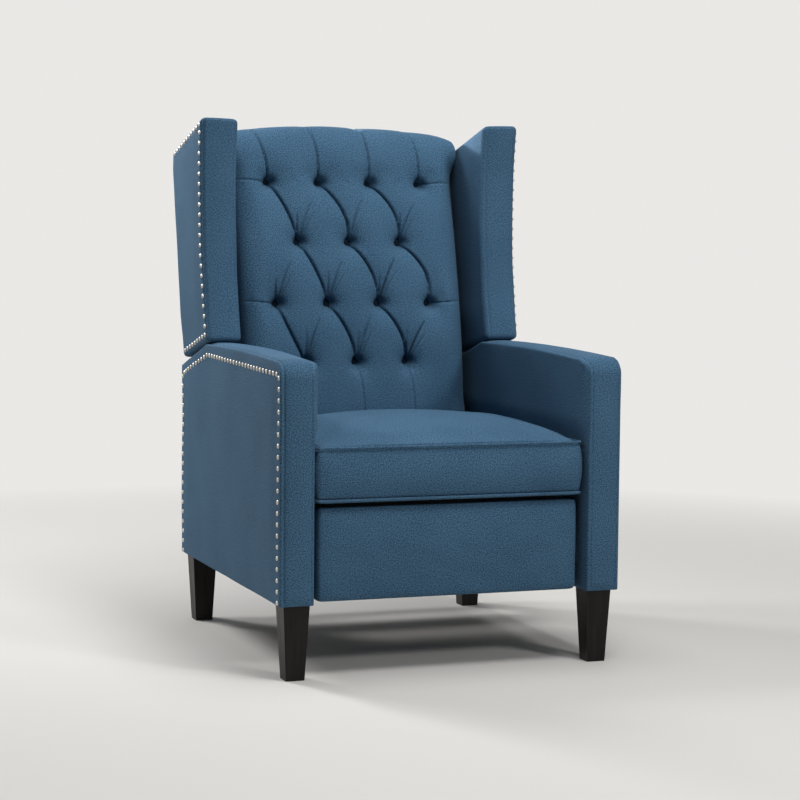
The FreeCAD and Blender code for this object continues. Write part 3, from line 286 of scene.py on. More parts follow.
def worn_surface():
    """Cloudy variation of a metal surface."""
    name = "worn_surface"
    if name in bpy.data.node_groups:
        return bpy.data.node_groups[name]
    wires, given, put = new_group(name, [
        ("Clean", "NodeSocketColor", (0.5, 0.5, 0.5, 1)), ("Worn", "NodeSocketColor", (0.3, 0.3, 0.3, 1)),
        ("Scale", "NodeSocketFloat", 90.0), ("Smooth", "NodeSocketFloat", 0.3)])
    spot = wires.node("ShaderNodeTexCoord").outputs["Object"]
    patch = wires.noise(spot, given.outputs["Scale"], 3.0, 0.6)
    grit = wires.noise(spot, wires.math("MULTIPLY", given.outputs["Scale"], 12.0), 1.0)
    share = wires.ramp(patch, 0.35, 0.7)
    wires.feed(put.inputs["Colour"], wires.mix(share, given.outputs["Clean"], given.outputs["Worn"]))
    wires.feed(put.inputs["Roughness"], wires.math("MULTIPLY_ADD", share, 0.22, given.outputs["Smooth"]))
    wires.feed(put.inputs["Height"], grit)
    return wires.tree


def finish_material(name, tree, values, bump, distance, shader=None):
    """A material of one node group and one shader, with plain values on the shader's own sockets."""
    if name in bpy.data.materials:
        return bpy.data.materials[name]
    material = bpy.data.materials.new(name)
    material.use_nodes = True
    wires = Wiring(material.node_tree)
    surface = material.node_tree.nodes["Principled BSDF"]
    group = wires.node("ShaderNodeGroup", node_tree=tree)
    for key, value in values.items():
        group.inputs[key].default_value = value
    for key, value in (shader or {}).items():
        surface.inputs[key].default_value = value
    wires.feed(surface.inputs["Base Color"], group.outputs["Colour"])
    wires.feed(surface.inputs["Roughness"], group.outputs["Roughness"])
    raised = wires.node("ShaderNodeBump", {"Strength": bump, "Distance": distance,
                                           "Height": group.outputs["Height"]})
    wires.feed(surface.inputs["Normal"], raised.outputs["Normal"])
    material.diffuse_color = tuple(list(values.values())[0])
    return material


def opaque(colour):
    return (*colour, 1.0)


def woven(name, light_share, dark_share, bump, sheen, specular):
    """The chair's cloth, with a share of the brightness of its two threads; a share below one darkens it as
    painted shade.
    """
    chosen = fabric()
    return finish_material(name, linen_weave(), {
        "Light": opaque([channel * light_share for channel in chosen.light_thread]),
        "Dark": opaque([channel * dark_share for channel in chosen.dark_thread]),
        "Pitch": chosen.thread_pitch, "Heather": chosen.heather}, bump, 0.0005,
        {"Sheen Weight": sheen, "Sheen Roughness": 0.5, "Specular IOR Level": specular})


def linen():
    return woven("linen", 1.0, 1.0, 0.35, 0.025, 0.08)


def button_cloth_painted_shade():
    """The same cloth on the buttons, darkened in its colour: painted shade of the deep pits that the buttons
    lie in.
    """
    return woven("button_cloth_painted_shade", 0.12, 0.3, 0.5, 0.01, 0.04)


def espresso():
    chosen = bpy.context.scene.recliner_legs
    return finish_material("espresso_wood", wood_grain(), {
        "Ground": opaque(chosen.stain), "Vein": opaque(chosen.grain), "Run": (1.0, 1.0, 0.05), "Scale": 70.0},
        0.25, 0.0003, {"Coat Weight": 0.05, "Coat Roughness": 0.3, "Specular IOR Level": 0.18})


def timber(name="frame_timber", run=(0.06, 1.0, 1.0)):
    return finish_material(name, wood_grain(), {
        "Ground": (0.56, 0.38, 0.20, 1), "Vein": (0.40, 0.24, 0.11, 1), "Run": run, "Scale": 55.0},
        0.3, 0.0005)


def steel():
    return finish_material("dark_steel", worn_surface(), {
        "Clean": (0.05, 0.052, 0.056, 1), "Worn": (0.085, 0.087, 0.09, 1), "Scale": 60.0, "Smooth": 0.36},
        0.15, 0.0002, {"Metallic": 0.75})


def bright_steel():
    return finish_material("bright_steel", worn_surface(), {
        "Clean": (0.52, 0.53, 0.54, 1), "Worn": (0.36, 0.36, 0.37, 1), "Scale": 120.0, "Smooth": 0.3},
        0.1, 0.0001, {"Metallic": 1.0})


def nail_metal():
    return finish_material("nail_metal", worn_surface(), {
        "Clean": opaque(trim().nail_colour), "Worn": (0.58, 0.54, 0.47, 1), "Scale": 300.0, "Smooth": 0.3},
        0.1, 0.0001, {"Metallic": 0.55})


def strap_cloth():
    return finish_material("strap_cloth", linen_weave(), {
        "Light": BLACK_LINING[0], "Dark": BLACK_LINING[1], "Pitch": 0.0022, "Heather": 0.4},
        0.6, 0.0008)


# Mesh tools

def smoothstep(value, low, high):
    share = np.clip((value - low) / (high - low), 0.0, 1.0)
    return share * share * (3.0 - 2.0 * share)


def ridge(value, centre, width):
    """A soft ridge of height 1 at a centre."""
    return np.exp(-((value - centre) / width) ** 2)


def mesh_points(mesh):
    places = np.empty(len(mesh.vertices) * 3)
    mesh.vertices.foreach_get("co", places)
    return places.reshape(-1, 3)


def points_of(obj):
    return mesh_points(obj.data)


def put_points(obj, places):
    obj.data.vertices.foreach_set("co", places.ravel())
    obj.data.update()


def new_piece(name, material, places, faces):
    mesh = bpy.data.meshes.new(name)
    mesh.from_pydata([tuple(spot) for spot in places], [], faces)
    mesh.update()
    return link_piece(name, mesh, material)


def shade_smooth(mesh):
    mesh.polygons.foreach_set("use_smooth", [True] * len(mesh.polygons))


def link_piece(name, mesh, material):
    obj = bpy.data.objects.new(name, mesh)
    bpy.context.scene.collection.objects.link(obj)
    mesh.materials.clear()
    mesh.materials.append(material)
    shade_smooth(mesh)
    return obj


def evaluated_mesh(obj):
    """A copy of a piece's mesh as its modifiers leave it."""
    seen = bpy.context.evaluated_depsgraph_get()
    return bpy.data.meshes.new_from_object(obj.evaluated_get(seen))


def apply_modifiers(obj):
    """Bake every modifier of a piece into its mesh."""
    baked = evaluated_mesh(obj)
    obj.modifiers.clear()
    obj.data = baked
    shade_smooth(baked)
    return obj


def refine(obj):
    """Divide every face of a piece in four, smoothly."""
    layer = obj.modifiers.new("refine", "SUBSURF")
    layer.levels = 1
    layer.render_levels = 1
    return apply_modifiers(obj)


def drift(places, reach, seed):
    """Smooth wandering values from -1 to 1, the same each run, that change over about reach metres."""
    rng = np.random.default_rng(seed)
    total = np.zeros(len(places))
    for _ in range(9):
        heading = rng.normal(size=3)
        heading /= np.linalg.norm(heading)
        rate = 2 * math.pi / (reach * rng.uniform(0.7, 1.6))
        total += np.sin(places @ heading * rate + rng.uniform(0, 2 * math.pi))
    return total / 4.5


def padded_block(name, outline, low, high, radius, cell, extra=()):
    """A block cut to an outline in the side view, from low to high in X, its edges rounded and its faces
    divided into cells, so that it can be shaped like stuffed cloth."""
    mesh = bmesh.new()
    near = [mesh.verts.new((low, y, z)) for y, z in outline]
    far = [mesh.verts.new((high, y, z)) for y, z in outline]
    count = len(outline)
    mesh.faces.new(near)
    mesh.faces.new(list(reversed(far)))
    for i in range(count):
        j = (i + 1) % count
        mesh.faces.new((near[j], near[i], far[i], far[j]))
    bmesh.ops.recalc_face_normals(mesh, faces=mesh.faces)
    sharp = [edge for edge in mesh.edges if edge.calc_face_angle(0.0) > math.radians(25)]
    bmesh.ops.bevel(mesh, geom=sharp, offset=radius, segments=4, profile=0.5, affect="EDGES",
                    clamp_overlap=True)
    spots = np.array([v.co for v in mesh.verts])
    for axis in range(3):
        start, end = spots[:, axis].min(), spots[:, axis].max()
        steps = max(2, int(round((end - start) / cell)))
        cuts = [start + (end - start) * i / steps for i in range(1, steps)]
        cuts += [place for where, place in extra if where == axis]
        normal = Vector([1.0 if i == axis else 0.0 for i in range(3)])
        for place in cuts:
            everything = mesh.verts[:] + mesh.edges[:] + mesh.faces[:]
            bmesh.ops.bisect_plane(mesh, geom=everything, plane_co=normal * place, plane_no=normal,
                                   dist=1e-6)
    mesh.normal_update()
    data = bpy.data.meshes.new(name)
    mesh.to_mesh(data)
    mesh.free()
    return data


def nail_row(corners, pitch):
    """Places evenly spaced along a line of straight runs."""
    line = [np.array(corner, float) for corner in corners]
    lengths = [np.linalg.norm(b - a) for a, b in zip(line, line[1:])]
    total = sum(lengths)
    count = max(1, int(round(total / pitch)))
    spots = []
    for number in range(count + 1):
        rest = total * number / count
        for a, b, length in zip(line, line[1:], lengths):
            if rest <= length or b is line[-1]:
                spots.append(a + (b - a) * min(1.0, rest / length))
                break
            rest -= length
    return spots


def domes(name, spots, normals, radius, rise, material, rim=0.15, rings=4, sides=12):
    """Many small round heads in one mesh, each a rim and a dome on its own direction."""
    places, faces = [], []
    for spot, normal in zip(spots, normals):
        normal = Vector(normal).normalized()
        first = normal.orthogonal().normalized()
        second = normal.cross(first)
        base = len(places)
        levels = [(1.0, -0.3), (1.0, rim)]
        for i in range(1, rings):
            turn = i / rings * math.pi / 2
            levels.append((math.cos(turn), rim + (1 - rim) * math.sin(turn)))
        for width, height in levels:
            for k in range(sides):
                around = 2 * math.pi * k / sides
                way = first * math.cos(around) + second * math.sin(around)
                places.append(Vector(spot) + way * radius * width + normal * rise * height)
        places.append(Vector(spot) + normal * rise)
        tip = len(places) - 1
        for level in range(len(levels) - 1):
            for k in range(sides):
                a = base + level * sides + k
                b = base + level * sides + (k + 1) % sides
                faces.append((a, b, b + sides, a + sides))
        last = base + (len(levels) - 1) * sides
        for k in range(sides):
            faces.append((last + k, last + (k + 1) % sides, tip))
        faces.append(tuple(base + k for k in reversed(range(sides))))
    return new_piece(name, material, places, faces)


def cord_mesh(name, path, radius, material):
    """A round welt along a path, with closed ends."""
    line = bpy.data.curves.new(name, "CURVE")
    line.dimensions = "3D"
    run = line.splines.new("POLY")
    run.points.add(len(path) - 1)
    for point, spot in zip(run.points, path):
        point.co = (*spot, 1.0)
    line.bevel_depth = radius
    line.bevel_resolution = 2
    line.use_fill_caps = True
    holder = bpy.data.objects.new(name + "_line", line)
    bpy.context.scene.collection.objects.link(holder)
    mesh = evaluated_mesh(holder)
    bpy.data.objects.remove(holder)
    bpy.data.curves.remove(line)
    mesh.name = name
    return link_piece(name, mesh, material)


def drive_nails(name, cover, line, side, tilt):
    """A row of nails along a line beside a cover, each driven straight in until it meets the cloth."""
    cloth = BVHTree.FromObject(cover, bpy.context.evaluated_depsgraph_get())
    outward = Vector((side, 0, 0))
    spots = []
    for spot in nail_row(line, trim().nail_pitch):
        spot = Vector(spot)
        hit = cloth.ray_cast(spot + outward * 0.05, -outward, 0.12)[0]
        spots.append(hit if hit is not None else spot)
    return domes(name, spots, [(side, 0, tilt)] * len(spots), trim().nail_radius, trim().nail_rise,
                 nail_metal())


def swell(obj, pinned, pressure, rise):
    """Blow the cloth up like stuffing with Blender's Cloth. Pinned places stay. The solver gives the form,
    and it is scaled so that all but the fullest hundredth of the places move by no more than rise."""
    start = points_of(obj)
    group = obj.vertex_groups.new(name="sewn")
    for index, weight in enumerate(pinned):
        if weight > 0:
            group.add([index], float(weight), "REPLACE")
    cloth = obj.modifiers.new("stuffing", "CLOTH")
    cloth.settings.quality = 6
    cloth.settings.mass = 0.3
    cloth.settings.tension_stiffness = 12
    cloth.settings.compression_stiffness = 12
    cloth.settings.bending_stiffness = 1.5
    cloth.settings.use_pressure = True
    cloth.settings.uniform_pressure_force = pressure
    cloth.settings.vertex_group_mass = "sewn"
    cloth.settings.effector_weights.gravity = 0
    cloth.collision_settings.use_collision = False
    cloth.point_cache.frame_start = 1
    cloth.point_cache.frame_end = CLOTH_FRAMES
    scene = bpy.context.scene
    for number in range(1, CLOTH_FRAMES + 1):
        scene.frame_set(number)
    moved = evaluated_mesh(obj)
    shift = mesh_points(moved) - start
    bpy.data.meshes.remove(moved)
    obj.modifiers.clear()
    obj.vertex_groups.clear()
    scene.frame_set(1)
    far = np.linalg.norm(shift, axis=1)
    put_points(obj, start + shift * rise / max(np.percentile(far, 99), 1e-6))
    return obj


def voxel_piece(obj, cell):
    """Rebuild a piece as an even mesh of small cells."""
    layer = obj.modifiers.new("cells", "REMESH")
    layer.mode = "VOXEL"
    layer.voxel_size = cell
    layer.use_smooth_shade = True
    return apply_modifiers(obj)


# Arms

ARM_NOSE = 0.030
# height of the top behind the nose, and how far back it runs, rises and is crowned before it slopes down
ARM_HEAD, ARM_RUN, ARM_RISE, ARM_CROWN = 0.603, 0.545, 0.008, 0.005
ARM_REAR_HEAD = 0.557
ARM_MIDDLE = 0.5 * (ARM_INNER + ARM_OUTER)
ARM_HALF = 0.034
OUTER_SEAM, INNER_SEAM = ARM_OUTER - 0.0075, ARM_INNER + 0.0065
ARM_EDGE, ARM_CELL = 0.0032, 0.010
# side view of an arm's row of nails: front foot, front head, end of the top, foot of the slope, rear foot
ARM_NAIL_LINE = ((-0.3835, 0.151), (-0.389, 0.581), (0.131, 0.590), (0.335, 0.537), (0.3285, 0.151))


def arm_outline():
    """Front, rounded nose, crowned top, slope and rear of an arm in the side view."""
    nose = [(ARM_FRONT + ARM_NOSE * (1 - math.cos(turn)), ARM_HEAD - ARM_NOSE * (1 - math.sin(turn)))
            for turn in np.linspace(0, math.pi / 2, 8)[:-1]]
    top = [(ARM_FRONT + ARM_RUN * share, ARM_HEAD + ARM_RISE * share + ARM_CROWN * 4 * share * (1 - share))
           for share in (0.055, 0.2, 0.4, 0.6, 0.8, 1.0)]
    return [(ARM_FRONT, ARM_FOOT)] + nose + top + [(ARM_REAR, ARM_REAR_HEAD), (ARM_REAR, ARM_FOOT)]


def arm_depth(y, z):
    """How far a place lies inside the front, nose and top of an arm."""
    to_top = ARM_HEAD + ARM_RISE * (y - ARM_FRONT) / ARM_RUN - z
    to_front = y - ARM_FRONT
    corner = ARM_NOSE - np.hypot(np.maximum(ARM_NOSE - to_front, 0), np.maximum(ARM_NOSE - to_top, 0))
    return np.where((to_front < ARM_NOSE) & (to_top < ARM_NOSE), corner, np.minimum(to_front, to_top))


def shape_arm(places, side):
    """Stuffed cloth on an arm: a full roll inside the top, a crowned band between two seams and slack
    panels."""
    shaped = places.copy()
    reach = np.abs(places[:, 0])
    y, z = places[:, 1], places[:, 2]
    across = (reach - ARM_MIDDLE) / ARM_HALF
    inner = np.clip((ARM_MIDDLE - reach) / ARM_HALF, 0.0, 1.0)
    outer = np.clip(across, 0.0, 1.0)
    # the stuffing of the top hangs over the inner side and ends in a soft step
    high = smoothstep(z, 0.435, 0.485) * smoothstep(y, ARM_FRONT + 0.002, ARM_FRONT + 0.018)
    roll = -0.0100 * inner * high * (1 - smoothstep(y, 0.10, 0.30) * 0.4)
    # the band that runs up the front and over the top: full between its two seams
    near = 1 - smoothstep(arm_depth(y, z), 0.0, 0.016)
    band = near * (y < ARM_REAR - 0.01) * (z > ARM_FOOT + 0.004)
    full = np.clip(1 - across ** 2, 0, 1) * 0.0045 - 0.0030 * ridge(reach, OUTER_SEAM, 0.0018)
    full -= 0.0022 * ridge(reach, INNER_SEAM, 0.0016)
    front = 1 - smoothstep(z, 0.573, 0.603)
    shaped[:, 1] -= full * band * (0.25 + 0.75 * front) * (y < ARM_FRONT + 0.04)
    shaped[:, 2] += full * band * (1 - 0.85 * front) * (z > 0.54)
    # the inner top edge is a little rounder at the front
    ahead = 1 - smoothstep(y, -0.35, -0.10)
    shaped[:, 2] -= 0.0025 * smoothstep(inner, 0.30, 1.0) ** 2 * smoothstep(z, 0.50, 0.60) * ahead
    # the outer panel is full inside its line of nails
    inside = (smoothstep(y, ARM_FRONT + 0.017, ARM_FRONT + 0.06)
              * (1 - smoothstep(y, ARM_REAR - 0.06, ARM_REAR - 0.017))
              * smoothstep(z, ARM_FOOT, ARM_FOOT + 0.05) * (1 - smoothstep(z, 0.53, 0.585)))
    puff = 0.0024 * inside * outer
    pulled = 0.0005 * np.sin(y * 2 * math.pi / 0.0212) * outer * smoothstep(z, 0.50, 0.56) * (z < 0.585)
    wander = 0.0009 * drift(places, 0.16, 5 + side)
    shaped[:, 0] += side * (roll + puff + pulled + wander * (outer - inner) * (1 - near))
    return shaped


def dress_arm(side):
    hand = "left" if side > 0 else "right"
    seams = [(0, side * (edge + step)) for edge in (OUTER_SEAM, INNER_SEAM)
             for step in (-0.0034, -0.0017, 0.0, 0.0017, 0.0034)]
    low, high = sorted((side * ARM_INNER, side * ARM_OUTER))
    data = padded_block(f"arm_{hand}", arm_outline(), low, high, ARM_EDGE, ARM_CELL, seams)
    arm = link_piece(f"arm_{hand}", data, linen())
    put_points(arm, shape_arm(points_of(arm), side))
    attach(arm, "base")
    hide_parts(f"arm_cover_{hand}")
    face = side * (ARM_OUTER + 0.0004)
    line = [(face, y, z) for y, z in ARM_NAIL_LINE]
    nails = drive_nails(f"arm_nails_{hand}", arm, line, side, 0.0)
    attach(nails, "base")


# Wings

WING_INNER = 0.277
WING_FOOT_OUT, WING_HEAD_OUT = 0.352, 0.358
WING_FRONT_FOOT, WING_FRONT_HEAD = (0.122, 0.619), (0.152, 1.086)
WING_REAR_FOOT_Z, WING_REAR_HEAD = 0.573, (0.4045, 1.021)
WING_WIDTH = WING_FOOT_OUT - WING_INNER
WING_WAIST = 0.026
TOP_SLOPE = (WING_FRONT_HEAD[1] - WING_REAR_HEAD[1]) / (WING_REAR_HEAD[0] - WING_FRONT_HEAD[0])
FOOT_SLOPE = 0.245
WING_EDGE, WING_CELL = 0.010, 0.011
# how far behind the front edge the nails stand, and where their top row and foot row end
NAIL_INSET = 0.0095
NAIL_TOP_END, NAIL_FOOT_END = 0.375, 0.305


def wing_outline():
    """Side view of a wing: front edge hollowed at the waist, sloped top and foot, leaning rear."""
    (y0, z0), (y1, z1) = WING_FRONT_FOOT, WING_FRONT_HEAD
    run = np.array([y1 - y0, z1 - z0])
    run /= np.linalg.norm(run)
    inward = np.array([run[1], -run[0]])
    front = []
    for share in np.linspace(0, 1, 10):
        sag = WING_WAIST * 4 * share * (1 - share)
        front.append((y0 + (y1 - y0) * share + inward[0] * sag, z0 + (z1 - z0) * share + inward[1] * sag))
    rear_foot = WING_REAR_HEAD[0] - (WING_REAR_HEAD[1] - WING_REAR_FOOT_Z) * math.tan(BACK_LEAN)
    return front + [WING_REAR_HEAD, (rear_foot, WING_REAR_FOOT_Z)]


def wing_front_y(z):
    """The hollowed front edge of the wing at a height."""
    (y0, z0), (y1, z1) = WING_FRONT_FOOT, WING_FRONT_HEAD
    share = np.clip((z - z0) / (z1 - z0), 0, 1)
    return y0 + (y1 - y0) * share + WING_WAIST * 4 * share * (1 - share)


def shape_wing(places, side):
    """Stuffed cloth on a wing, which flares outwards with height: a full front band between two seams, a full
    outer side and a fuller inner one."""
    shaped = places.copy()
    reach = np.abs(places[:, 0])
    y, z = places[:, 1], places[:, 2]
    share = np.clip((z - WING_REAR_FOOT_Z) / (WING_FRONT_HEAD[1] - WING_REAR_FOOT_Z), 0, 1)
    outer_line = WING_FOOT_OUT + (WING_HEAD_OUT - WING_FOOT_OUT) * share
    across = (reach - WING_INNER) / WING_WIDTH
    reach_new = WING_INNER + across * (outer_line - WING_INNER)
    full = np.clip(1 - (2 * across - 1) ** 2, 0, 1)
    behind = y - wing_front_y(z)
    front = 1 - smoothstep(behind, 0.0, 0.022)
    shaped[:, 1] -= 0.006 * full * front
    under = WING_FRONT_HEAD[1] - (y - WING_FRONT_HEAD[0]) * TOP_SLOPE - z
    top = 1 - smoothstep(under, 0.0, 0.02)
    shaped[:, 2] -= 0.002 * top * (1 - across) ** 2
    inner = np.clip(1 - 2 * across, 0, 1)
    outer = np.clip(2 * across - 1, 0, 1)
    mid = smoothstep(behind, 0.0, 0.06) * smoothstep(z, 0.60, 0.68) * smoothstep(under, 0.0, 0.05)
    reach_new += 0.003 * mid * outer - 0.005 * mid * inner
    shaped[:, 1] += 0.0018 * (ridge(across, 0.13, 0.035) * front)
    shaped[:, 1] += 0.0022 * (ridge(across, 0.93, 0.03) * front)
    shaped[:, 0] = side * (reach_new + 0.0006 * drift(places, 0.13, 15 + side) * (outer - inner))
    return shaped


def dress_wing(side):
    hand = "left" if side > 0 else "right"
    low, high = sorted((side * WING_INNER, side * WING_FOOT_OUT))
    seams = [(0, side * (WING_INNER + WING_WIDTH * share))
             for share in (0.06, 0.10, 0.13, 0.16, 0.2, 0.90, 0.93, 0.96)]
    data = padded_block(f"wing_{hand}", wing_outline(), low, high, WING_EDGE, WING_CELL, seams)
    wing = link_piece(f"wing_{hand}", data, linen())
    put_points(wing, shape_wing(points_of(wing), side))
    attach(wing, "back")
    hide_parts(f"wing_cover_{hand}")
    heights = np.linspace(WING_FRONT_FOOT[1] + 0.013, WING_FRONT_HEAD[1] - 0.016, 9)
    out = side * 0.37
    front = [(out, wing_front_y(z) + NAIL_INSET, z) for z in heights]
    top_end = (out, NAIL_TOP_END, heights[-1] - (NAIL_TOP_END - front[-1][1]) * TOP_SLOPE)
    foot_end = (out, NAIL_FOOT_END, heights[0] - (NAIL_FOOT_END - front[0][1]) * FOOT_SLOPE)
    nails = drive_nails(f"wing_nails_{hand}", wing, [foot_end] + front + [top_end], side, 0.01)
    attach(nails, "back")


# Buttoned back

BACK_HALF = 0.2715
SPACING = 0.1165
CROWN = 0.030
ROW_HEIGHTS = (0.955, 0.825, 0.693, 0.567)
ROW_PLACES = ((-1.5, -0.5, 0.5, 1.5), (-1.0, 0.0, 1.0), (-1.5, -0.5, 0.5, 1.5), (-1.0, 0.0, 1.0))
# how far each falling pleat bows out to the sitter's left, row by row
PLEAT_BOWS = ((0.006, 0.017, 0.019), (0.004, 0.013, 0.022), (-0.005, 0.008, 0.012))
# side view: the line that the buttons are drawn back to, from the foot over the top roll to the rear
BACK_LINE = ((0.186, 0.392), (0.188, 0.480), (0.193, 0.567), (0.215, 0.693), (0.249, 0.825), (0.289, 0.955),
             (0.302, 1.004), (0.315, 1.036), (0.336, 1.056), (0.363, 1.056), (0.386, 1.043), (0.3975, 1.026))
# the rear of the cushion, on the webbing and then on the top rail, point for point
REAR_LINE = ((0.236, 0.392), (0.251, 0.480), (0.266, 0.567), (0.288, 0.693), (0.311, 0.825), (0.334, 0.955),
             (0.341, 0.995), (0.346, 1.020), (0.354, 1.026), (0.368, 1.027), (0.384, 1.027), (0.3935, 1.021))
EDGE_ROLL = 0.040
# kinds of fold: crease depth, share of the padding that it takes out, width of that valley, and what is left
# of the depth and of the share at its far end
PLEAT = (0.0100, 0.36, 0.011, 1.0)
SHORT_FOLD = (0.0100, 0.24, 0.006, 0.0)
FAN_FOLD = (0.0082, 0.22, 0.008, 0.1)
FAINT_FOLD = (0.0055, 0.08, 0.005, 0.0)
CREST_FOLD = (0.0095, 0.22, 0.010, 0.3)
SIDE_FOLD = (0.0036, 0.06, 0.008, 0.8)
FOOT_FOLD = (0.0036, 0.09, 0.010, 0.6)
CREASE_WIDTH = 0.0014
# how far a button's base lies behind the buttons' line, and how far its head rises from there
BUTTON_SUNK, BUTTON_RISE = 0.0175, 0.0068


def smooth_line(points, count):
    """A smooth curve through points: the run at each of its places, count even steps along it, and its
    places."""
    knots = np.array(points, float)
    ends = np.vstack([2 * knots[0] - knots[1], knots, 2 * knots[-1] - knots[-2]])
    places = []
    for i in range(1, len(ends) - 2):
        before, start, end, after = ends[i - 1:i + 3]
        for step in np.linspace(0, 1, 24, endpoint=False):
            places.append(0.5 * (2 * start + (end - before) * step
                                 + (2 * before - 5 * start + 4 * end - after) * step ** 2
                                 + (3 * start - before - 3 * end + after) * step ** 3))
    places.append(knots[-1])
    places = np.array(places)
    run = np.concatenate([[0], np.cumsum(np.linalg.norm(np.diff(places[:, :2], axis=0), axis=1))])
    wanted = np.linspace(0, run[-1], count)
    return run, np.column_stack([np.interp(wanted, run, column) for column in places.T]), places


BACK_RUN, _, BACK_CURVE = smooth_line(np.hstack([BACK_LINE, REAR_LINE]), 2)


def back_section(run):
    """Buttons' line and rear line of the back at a run along its side view."""
    return [np.interp(run, BACK_RUN, column) for column in BACK_CURVE.T]


def row_runs():
    """Run along the side view at which each row of buttons lies."""
    front = BACK_CURVE[:, 1] <= ROW_HEIGHTS[0] + 0.03
    return [float(np.interp(z, BACK_CURVE[front, 1], BACK_RUN[front])) for z in ROW_HEIGHTS]


def button_places():
    """Buttons as across and run, rows of four and three in turn."""
    return [(share * SPACING, run) for shares, run in zip(ROW_PLACES, row_runs()) for share in shares]


def folds():
    """Every fold of the buttoned back: its line, and then its kind's four numbers."""
    rng = np.random.default_rng(12)
    runs = row_runs()
    made = []
    shares = np.linspace(0, 1, 11)
    # pleats that fall from a button to the next row
    for row, bows in enumerate(PLEAT_BOWS):
        drop = runs[row + 1] - runs[row]
        for share, bow in zip(ROW_PLACES[row], bows):
            x0 = share * SPACING
            x1 = x0 + SPACING / 2
            line = [(x0 + (x1 - x0) * s + bow * math.sin(math.pi * s ** 0.9), runs[row] + drop * s)
                    for s in shares]
            made.append((line, *PLEAT))
    # folds that rise from a button and fan out
    for row in (1, 2, 3):
        for share in ROW_PLACES[row]:
            x, run = share * SPACING, runs[row]
            lean = rng.uniform(-0.007, 0.001)
            tall = rng.uniform(0.050, 0.078)
            line = [(x + lean * math.sin(math.pi * 0.8 * s), run + tall * s) for s in shares]
            made.append((line, *SHORT_FOLD))
            if share == 1.5:
                continue
            strong = 1.7 if share in (0.5, 1.0) and row > 1 else 1.15
            tall = rng.uniform(0.088, 0.102)
            reach = rng.uniform(0.026, 0.036)
            line = [(x + 0.002 + reach * s ** 1.7, run + tall * s) for s in shares]
            depth, taken, width, left = FAN_FOLD
            made.append((line, depth * strong, taken * strong, width, left))
            line = [(x + 0.006 + (reach + 0.004) * s ** 1.6, run + tall * 0.8 * s) for s in shares]
            made.append((line, *FAINT_FOLD))
    # folds from the top buttons over the crest
    last = BACK_RUN[-1]
    for share, lean in zip(ROW_PLACES[0], (-0.022, -0.016, -0.014, -0.012)):
        x = share * SPACING
        line = [(x - 0.002 + lean * s ** 1.8, runs[0] + (last - runs[0]) * 0.62 * s) for s in shares]
        made.append((line, *CREST_FOLD))
    # folds from the outermost buttons to the sides
    for row in (0, 2):
        for hand in (-1, 1):
            x = hand * 1.5 * SPACING
            reach = hand * (BACK_HALF - 0.008 - abs(x))
            line = [(x + reach * s, runs[row] + 0.006 * math.sin(math.pi * 0.7 * s)) for s in shares]
            made.append((line, *SIDE_FOLD))
    # folds from the lowest buttons to the foot
    for share in ROW_PLACES[3]:
        x = share * SPACING
        line = [(x + 0.010 * math.sin(math.pi * 0.55 * s), runs[3] * (1 - s)) for s in shares]
        made.append((line, *FOOT_FOLD))
    return made


def nearest_on(line, x, run):
    """For points over the back: distance to a fold's line, share along it, side of it, and the nearest
    place."""
    best = np.full(x.shape, 9.0)
    along, side = np.zeros(x.shape), np.zeros(x.shape)
    near_x, near_run = x.copy(), run.copy()
    count = len(line) - 1
    for i, ((x0, r0), (x1, r1)) in enumerate(zip(line, line[1:])):
        dx, dr = x1 - x0, r1 - r0
        share = np.clip(((x - x0) * dx + (run - r0) * dr) / (dx * dx + dr * dr), 0, 1)
        px, pr = x0 + share * dx, r0 + share * dr
        far = np.hypot(x - px, run - pr)
        closer = far < best
        best = np.where(closer, far, best)
        along = np.where(closer, (i + share) / count, along)
        side = np.where(closer, np.sign(x - px), side)
        near_x, near_run = np.where(closer, px, near_x), np.where(closer, pr, near_run)
    return best, along, side, near_x, near_run


def padding(x, run, creased):
    """Height of the stuffed front over the buttons' line, in metres."""
    full = np.ones(x.shape)
    crease = np.zeros(x.shape)
    for line, depth, taken, width, left in folds():
        far, along, side, _, _ = nearest_on(line, x, run)
        hold = 1 - (1 - left) * along
        full *= 1 - taken * hold * np.exp(-far / width)
        if creased:
            # a sharp crease, and a small lip of cloth on the sitter's left of it
            crease -= depth * hold ** 0.7 * np.exp(-far / CREASE_WIDTH)
            crease += 0.18 * depth * hold * (side > 0) * np.exp(-(far / 0.009) ** 2)
    # each button draws the padding down, ends the creases and makes a pit
    for bx, bz in button_places():
        far = np.hypot(x - bx, run - bz)
        full *= 1 - np.exp(-(far / 0.0200) ** 1.15)
        crease *= 1 - np.exp(-(far / 0.006) ** 4)
        crease -= 0.019 * np.exp(-(far / 0.0125) ** 2.6)
    return CROWN * full + crease


